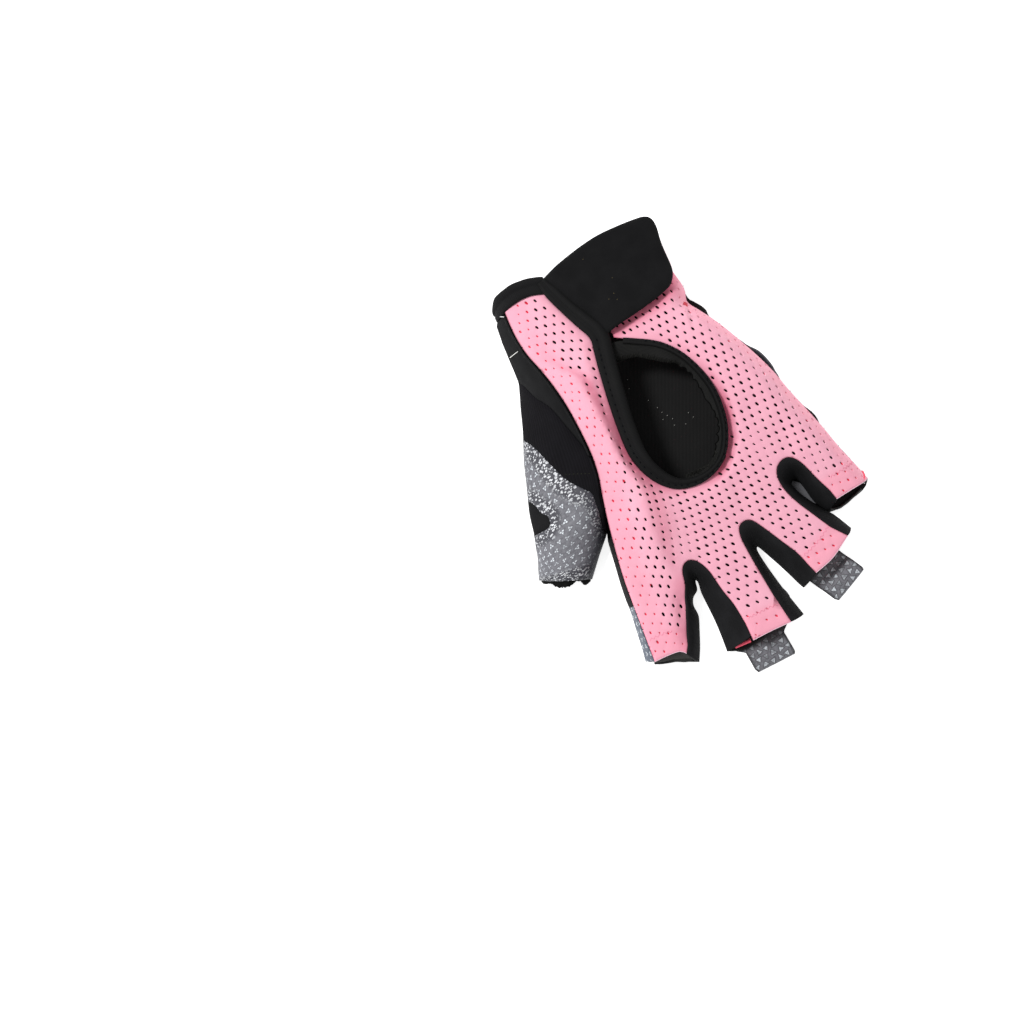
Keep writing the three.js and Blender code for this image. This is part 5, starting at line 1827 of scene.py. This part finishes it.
@dataclass
class FingerWalls:
    """Walls between and beside the fingers."""

    form: GloveForm
    wall: float = 1.3

    def point(self, rows: Sequence[Sequence[float]], u: float, v: float) -> Vector:
        """A point of a wall, from its upper end to its lower end.

        Args:
            rows: the wall's two ends in plan.
            u: share of the way down.
            v: share of the way along.

        Returns:
            The point.
        """
        up_x, up_y, low_x, low_y = share_of(rows, v)
        top = self.form.back(up_x, up_y) - 0.75
        w = u**1.1
        x, y = lerp(up_x, low_x, w), lerp(up_y, low_y, w)
        ripple = 0.3 * noise.noise(Vector((x / 4, y / 4, u * 2))) * math.sin(math.pi * u)
        return Vector((x, y, top - (top - self.form.foot_z + 0.3) * w**1.7 + ripple))

    def build(self) -> list[bpy.types.Object]:
        """Builds and dresses the walls.

        Returns:
            Its pieces.
        """
        stretch = PlainCloth("wall_stretch", linear(25, 25, 26), linear(40, 40, 42), 0.05, wear=0.3).make()
        leather = GripLeather("index_leather", Marks.TRIOS, base=linear(104, 112, 125),
                              dark=linear(56, 61, 72)).make()
        index = smooth_path(INDEX_SIDE, 1.5)
        seam = next(i for i, row in enumerate(index) if row[1] < -44.6)
        pieces = []
        for name, rows, finish, slot, node, width in (
            ("index_side_cloth", index[:seam + 1], stretch, Slot.STRETCH, "index_side_wall", 10.5),
            ("index_side_leather", index[seam:], leather, Slot.LEATHER, "index_side_grip", 10.5),
            ("wall_index_middle", smooth_path(WALL_INDEX_MIDDLE, 1.4), stretch, Slot.STRETCH,
             "fourchette_index_middle", 12.5),
            ("wall_middle_ring", smooth_path(WALL_MIDDLE_RING, 1.4), stretch, Slot.STRETCH,
             "fourchette_middle_ring", 12.5),
            ("wall_ring_pinkie", smooth_path(WALL_RING_PINKIE, 1.4), stretch, Slot.STRETCH,
             "fourchette_ring_pinkie", 11.5),
        ):
            length = sum(math.dist(a[2:4], b[2:4]) + math.dist(a[:2], b[:2])
                         for a, b in zip(rows, rows[1:])) / 2
            piece = grid_piece(name, lambda u, v, rows=rows: self.point(rows, u, v), 12, len(rows) * 2,
                               attributes={"edge": lambda u, v: 1 - smoothstep(u, 0.0, 0.12)})
            face_up(piece)
            thicken(piece, self.wall)
            pieces.append(dress(piece, finish, slot, node))
            declare_cloth(piece, width, length, "laid")
        return pieces


@dataclass
class PalmSide:
    """Palm panel and the leather grips sewn under it."""

    form: GloveForm
    panel_wall: float = 1.5
    grip_wall: float = 1.6

    def outline(self) -> list[Point]:
        """Outline of the palm panel.

        Returns:
            Its points.
        """
        lines = [lower(THUMB_RIBS[1:]), plan(THUMB_RIBS[-1:-4:-1]), lower(INDEX_SIDE),
                 lower(WALL_INDEX_MIDDLE), MIDDLE_END, lower(WALL_MIDDLE_RING),
                 lower(WALL_RING_PINKIE[:-1]), PINKIE_END, PINKIE_SIDE]
        points = [p for line in lines for p in plan(smooth_path(line, 1.6))]
        points += [(32 - 1.6 * k, 69.4) for k in range(1, 41)]
        return spaced(points, 0.4)

    def build(self) -> list[bpy.types.Object]:
        """Builds and dresses the palm side.

        Returns:
            Its pieces.
        """
        lining = PlainCloth("palm_lining", linear(28, 28, 28), linear(35, 35, 35), 0.03, 1.3, "X", 0.9,
                            wear=0.4, turn=30.0).make()
        cut = Cut("palm_panel_cloth", self.outline(), 2.4, (0.4, 1.0))
        panel = cut.build(lambda x, y, d: Vector((
            x, y, self.form.palm_z + self.panel_wall - 0.5 * max(0.0, 1 - d / 0.8) ** 2
            + 0.25 * noise.noise(Vector((x / 9, y / 9, 1.0))) * smoothstep(d, 1, 6))),
            {"edge": lambda x, y, d: 1 - smoothstep(d, 0.2, 0.8)})
        thicken(panel, self.panel_wall)
        dress(panel, lining, Slot.STRETCH, "palm_panel")
        declare_cloth(panel, 122, 148, "laid")
        leather = GripLeather("palm_leather", Marks.TRIOS).make()
        # painted light: a paler copy of the palm leather, which lifts the little finger's pad out of its
        # shade in the fork
        painted_light_leather = GripLeather("pinkie_leather", Marks.TRIOS, base=linear(150, 150, 156)).make()
        pieces = [panel]
        for name, corners in GRIP_PADS.items():
            outline = plan(smooth_path(corners, 1.6, closed=True))
            piece = Cut(name + "_pad", outline, 2.0, (0.4, 0.9, 1.6)).build(
                lambda x, y, d: Vector((x, y, 0.9 * max(0.0, 1 - d / 1.8) ** 2)), {
                    "gathered": lambda x, y, d: smoothstep(d, 1.2, 1.8) * (1 - smoothstep(d, 2.2, 3.4)),
                    # painted shade along the pads' edges, where they lie under the glove
                    "shade": lambda x, y, d: 1 - smoothstep(d, 0.8, 1.8),
                })
            face_up(piece, Vector((0, 0, -1)))
            thicken(piece, self.grip_wall)
            pieces.append(dress(piece, painted_light_leather if name == "pinkie_grip" else leather, Slot.LEATHER, name))
        return pieces


@dataclass
class PullTabs:
    """Folded leather tabs at the ends of the middle and the ring finger.

    A tab is a row of its name, left and right root, left and right free corner, height of its fold, how
    much its root flares, and how far its root is darkened with painted shade where it runs under the finger.
    """

    tabs: tuple = (
        ("middle", (-14.4, -76), (1.4, -76), (-14.6, -91), (1.5, -91.8), 2.4, 0.18, 0.28),
        ("ring", (18.4, -69.4), (33, -64), (24.2, -82.7), (38.6, -77.2), 4.4, 0.0, 0.08),
    )
    depth: float = 2.2
    wall: float = 0.8

    def build(self) -> list[bpy.types.Object]:
        """Builds and dresses both tabs.

        Returns:
            Its pieces.
        """
        leather = GripLeather("tab_leather", Marks.SOLID, turned=False, base=linear(124, 124, 130),
                              dark=linear(54, 53, 56), pale=linear(210, 216, 222)).make()
        pieces = []
        for name, left, right, free_left, free_right, loop, flare, dim in self.tabs:
            length = math.dist(left, free_left)

            def place(u: float, v: float, corners: tuple = (left, right, free_left, free_right),
                      loop: float = loop, length: float = length, flare: float = flare) -> Vector:
                """A point of the folded band, from the upper root round the fold to the lower root.

                Args:
                    u: share of the way across.
                    v: share of the way along the band.
                    corners: both roots and both free corners.
                    loop: height of the fold.
                    length: from the root to the fold.
                    flare: how much the root is wider.

                Returns:
                    The point.
                """
                t = 1 - abs(2 * v - 1)
                a, b, c, e = (Vector(p) for p in corners)
                taper = 0.03 * smoothstep(t, 0.9, 1.0) - flare * (1 - smoothstep(t, 0.26, 0.44))
                spot = a.lerp(c, t).lerp(b.lerp(e, t), lerp(taper, 1 - taper, u))
                opened = smoothstep(t, 0.3, 0.7)
                top = lerp(1.4, loop, opened) - 0.5 * (2 * u - 1) ** 2 * opened
                bend = max(0.0, (t * length - (length - self.depth / 2)) / (self.depth / 2))
                half = self.depth / 2 * math.sqrt(max(0.0, 1 - bend * bend))
                middle = max(top - self.depth / 2, self.depth / 2) if opened > 0.5 else \
                    lerp(0.7, max(top - self.depth / 2, self.depth / 2), opened * 2)
                half = min(half, lerp(0.7, half, min(opened * 2, 1.0)))
                return Vector((spot.x, spot.y, middle + (half if v < 0.5 else -half)))

            piece = face_out(grid_piece(f"pull_tab_{name}_leather", place, 14, 72, attributes={
                # painted shade at the root, where the tab runs under the finger, and darker side edges
                "shade": lambda u, v: max(1 - smoothstep(1 - abs(2 * v - 1), dim, dim + 0.24),
                                          1 - smoothstep(0.5 - abs(u - 0.5), 0.02, 0.07)),
                "gathered": lambda u, v: 0.0,
            }))
            thicken(piece, self.wall)
            dress(piece, leather, Slot.LEATHER, f"pull_tab_{name}")
            declare_cloth(piece, math.dist(left, right), 2 * length, "folded")
            pieces.append(piece)
        return pieces


@dataclass
class LooseEnds:
    """Lint, tacks, pale cut edges, rolled linings and the small sheets that show at two fingers."""

    back: MeshBack
    closure: WristClosure
    thumb: ThumbSide
    window_lint: tuple = (
        (2.8, 10.0), (3.9, 8.0), (1.8, 7.5), (5.0, 6.0), (4.4, 3.6), (8.2, 1.9), (11.9, 2.7), (11.1, 5.0),
        (2.2, 12.3), (-2.2, 26.7), (-3.3, 23.6), (0.6, 16.3),
    )
    strap_lint: tuple = ((3.7, 71.2), (9.2, 60.1), (6.8, 52.5), (4.3, 54.1), (6.9, 55.0))
    pinkie_roll: tuple = ((38.2, -51.6), (42.0, -52.8), (47.8, -51.9), (51.9, -50.9))
    fork_height: float = 3.9
    fork_corners: tuple = (
        (27.6, -35.8), (30.2, -34.6), (34.4, -38.6), (37.6, -46.2), (35.2, -47.6), (31.2, -43.4),
    )
    index_roll: tuple = ((-45.6, -68.2), (-41.9, -70.0), (-38.6, -71.2), (-35.2, -73.2), (-32.9, -74.2))

    def build(self) -> list[bpy.types.Object]:
        """Builds and dresses the loose ends."""
        steps = (self.lint, self.threads, self.hem_edges, self.rolls, self.fork, self.index_lining)
        return [piece for step in steps for piece in step()]

    def lint(self) -> list[bpy.types.Object]:
        """Specks on the palm inside the window and dust on the strap.

        Returns:
            The two pieces.
        """
        floor = self.back.form.palm_z + 1.8
        spots = [(Vector((x, y, floor)), Vector((1, 0.4, 0))) for x, y in self.window_lint]
        dust = [(Vector((x, y, self.closure.strap_height(x, y, 5.0))), Vector((0.3, 1, 0)))
                for x, y in self.strap_lint]
        gray = PlainCloth.thread("gray_lint", (132, 132, 128), (170, 170, 166))
        gold = PlainCloth.thread("strap_dust", (112, 98, 66), (136, 122, 88))
        return [dress(row_of_stitches("window_lint", spots, 0.5, 0.34), gray, Slot.STRETCH),
                dress(row_of_stitches("strap_lint", dust, 0.4, 0.22), gold, Slot.STRETCH)]

    def threads(self) -> list[bpy.types.Object]:
        """Seam stitches of the gusset, and the white tack and thread ends.

        Returns:
            The two pieces.
        """
        dull = PlainCloth.thread("gusset_thread", (38, 39, 33), (54, 56, 46))
        white = PlainCloth.thread("white_thread", (226, 226, 222), (245, 245, 240))
        row = [(self.thumb.over(lerp(-39.6, -32.4, k / 6), lerp(7.8, 3.9, k / 6), 0.0), Vector((1, -0.45, 0)))
               for k in range(7)]
        tack = [self.thumb.over(x, 55.1, 0.2) for x in (-35.6, -34.5, -33.4, -32.3)]
        corner = [self.thumb.over(x, y, 1.6) for x, y in ((-30.8, 69.3), (-30.2, 68.8), (-29.7, 68.4))]
        wisp = [Vector(p) for p in ((52.4, -47.9, 8.4), (53.1, -48.9, 7.6), (53.7, -49.6, 6.2))]
        return [dress(row_of_stitches("gusset_stitches", row, 0.9, 0.3), dull, Slot.RIB),
                dress(thread_piece("side_tack", [tack, corner, wisp], 0.15), white, Slot.STRETCH)]

    def hem_edges(self) -> list[bpy.types.Object]:
        """Pale cut edges of the hems and the red corners turned out at two of them.

        Returns:
            The two pieces.
        """
        pale = PlainCloth.thread("cut_edge", (244, 206, 222), (250, 222, 234))
        red = PlainCloth.thread("red_edge", (255, 76, 100), (255, 140, 160))
        lines = self.back.lines()
        paths = []
        for key in HEMS:
            line = smooth_path(lines[key], 1.0)
            paths.append([Vector((x, y, self.back.height(x, y, 0.0) + 0.1)) for x, y, *_ in line])
        corner = [Vector((x, y, self.back.height(x, y, 0.0) - 0.3))
                  for x, y in ((53.2, -47.8), (54.8, -47.0), (55.6, -45.8))]
        strip = [Vector(p) for p in ((-17.1, -77.9, 5.2), (-14.2, -78.1, 6.4), (-11.3, -78.3, 7.4))]
        return [dress(thread_piece("hem_edges", paths, 0.14), pale, Slot.MESH),
                dress(thread_piece("turned_corners", [corner, strip], 0.65), red, Slot.MESH)]

    def rolls(self) -> list[bpy.types.Object]:
        """Rolled linings at the ends of the little and the index finger.

        Returns:
            The two pieces.
        """
        glossy = PlainCloth.thread("rolled_edge", (16, 16, 16), (28, 28, 28), 0.1, roughness=0.35, gloss=0.5)
        # painted light: the index finger's roll is paler than the other black linings, for its lit curl
        plain = PlainCloth.thread("lining_roll", (42, 42, 42), (56, 56, 56), 0.1)
        pieces = []
        for name, line, radius, finish in (("pinkie_lining_roll", self.pinkie_roll, 0.6, glossy),
                                           ("index_lining_roll", self.index_roll, 0.8, plain)):
            path = [Vector((x, y, 4.1 + 0.3 * math.sin(x * 1.7))) for x, y in plan(smooth_path(line, 1.0))]
            pieces.append(dress(thread_piece(name, [path], radius), finish, Slot.STRETCH))
        return pieces

    def fork(self) -> list[bpy.types.Object]:
        """Leather that shows in the fork of the ring and the little finger.

        Returns:
            The piece.
        """
        outline = plan(smooth_path(self.fork_corners, STEP, closed=True))
        gap = Cut("fork_leather", outline, 1.4, (0.35,)).build(
            lambda x, y, d: Vector((x, y, self.fork_height - 0.4 * max(0.0, 1 - d / 0.6) ** 2)))
        thicken(gap, 0.6)
        gray = PlainCloth("fork_leather_gray", linear(90, 90, 93), linear(104, 104, 108), 0.05, wear=0.0)
        dress(gap, gray.make(), Slot.LEATHER)
        declare_cloth(gap, 10.0, 12.0, "laid")
        return [gap]

    def index_lining(self) -> list[bpy.types.Object]:
        """Lining that shows between the index finger's hem and its roll, paler than the palm lining as
        painted light.

        Returns:
            The piece.
        """
        hem = smooth_path(INDEX_HEM, 1.0)

        def lip(u: float, v: float) -> Vector:
            """A point of the lining.

            Args:
                u: share of the way down.
                v: share of the way along.

            Returns:
                The point.
            """
            up, low = share_of(hem, v), share_of(self.index_roll, v)
            top = self.back.height(up[0], up[1], 0.0) - 1.0
            swell = 0.6 * math.sin(math.pi * u)
            return Vector((lerp(up[0], low[0], u), lerp(up[1] + 0.4, low[1], u) - swell, lerp(top, 4.0, u)))

        # painted light: paler than the other black linings, so that the lip shows lit under the hem's shade
        cloth = PlainCloth("index_lining", linear(54, 54, 53), linear(66, 66, 64), 0.06, wear=0.0)
        piece = face_up(grid_piece("index_lining_lip", lip, 8, 20), Vector((0, -0.6, 0.8)))
        thicken(piece, 0.6)
        dress(piece, cloth.make(), Slot.STRETCH)
        declare_cloth(piece, 13.6, 10.0, "laid")
        return [piece]


@dataclass
class Studio:
    """Pale floor, soft key light from the left, bright surroundings and a camera that looks straight down."""

    floor_size: float = 3.0
    key_power: float = 17.8
    key_size: float = 0.36
    key_height: float = 53.0
    surround: float = 0.49
    turn: float = -30.0
    lens: float = 52.26
    sensor: float = 36.0
    eye: tuple = (-0.0633, 0.0058, 0.55)

    def build(self) -> None:
        """Sets the studio up."""
        bm = bmesh.new()
        bmesh.ops.create_grid(bm, x_segments=1, y_segments=1, size=self.floor_size / 2)
        floor = close(bm, "floor")
        net = Net("floor_paper")
        spot = net.place_mm(flat=False)
        tone = net.mix(net.noise(spot, 40.0) * 0.3, linear(250, 250, 250), linear(246, 246, 246))
        floor.data.materials.append(net.finish(tone, 0.9, None, Specular_IOR_Level=0.1,
                                               Emission_Color=(1, 1, 1, 1), Emission_Strength=0.75))
        turn = math.radians(self.turn)
        right = Vector((math.cos(turn), math.sin(turn), 0))
        up = Vector((-math.sin(turn), math.cos(turn), 0))
        rise = math.radians(self.key_height)
        aim = (-right * 0.92 + up * 0.38).normalized() * math.cos(rise) + Vector((0, 0, math.sin(rise)))
        data = bpy.data.lights.new("key", "AREA")
        data.shape = "DISK"
        data.size = self.key_size
        data.energy = self.key_power
        key = bpy.data.objects.new("key", data)
        key.location = aim * 1.6
        key.rotation_euler = aim.to_track_quat("Z", "Y").to_euler()
        bpy.context.scene.collection.objects.link(key)
        world = bpy.data.worlds.new("studio")
        world.use_nodes = True
        background = world.node_tree.nodes["Background"]
        background.inputs["Color"].default_value = (1, 1, 1, 1)
        background.inputs["Strength"].default_value = self.surround
        bpy.context.scene.world = world
        bpy.context.scene.view_settings.view_transform = "Standard"
        lens = bpy.data.cameras.new("camera")
        lens.lens = self.lens
        lens.sensor_width = self.sensor
        lens.clip_start = 0.01
        camera = bpy.data.objects.new("camera", lens)
        camera.location = self.eye
        camera.rotation_euler = (0, 0, turn)
        bpy.context.scene.collection.objects.link(camera)
        bpy.context.scene.camera = camera


def main() -> None:
    """Builds the glove piece by piece."""
    logging.basicConfig(level=logging.INFO, format="%(name)s: %(message)s")
    Studio().build()
    form = GloveForm()
    back, closure, thumb = MeshBack(form), WristClosure(form), ThumbSide(form)
    for part in (back, Opening(back), closure, thumb, FingerWalls(form), PalmSide(form), PullTabs(),
                 LooseEnds(back, closure, thumb)):
        pieces = part.build()
        LOG.info("%s made with %d pieces", type(part).__name__, len(pieces))


if __name__ == "__main__":
    main()
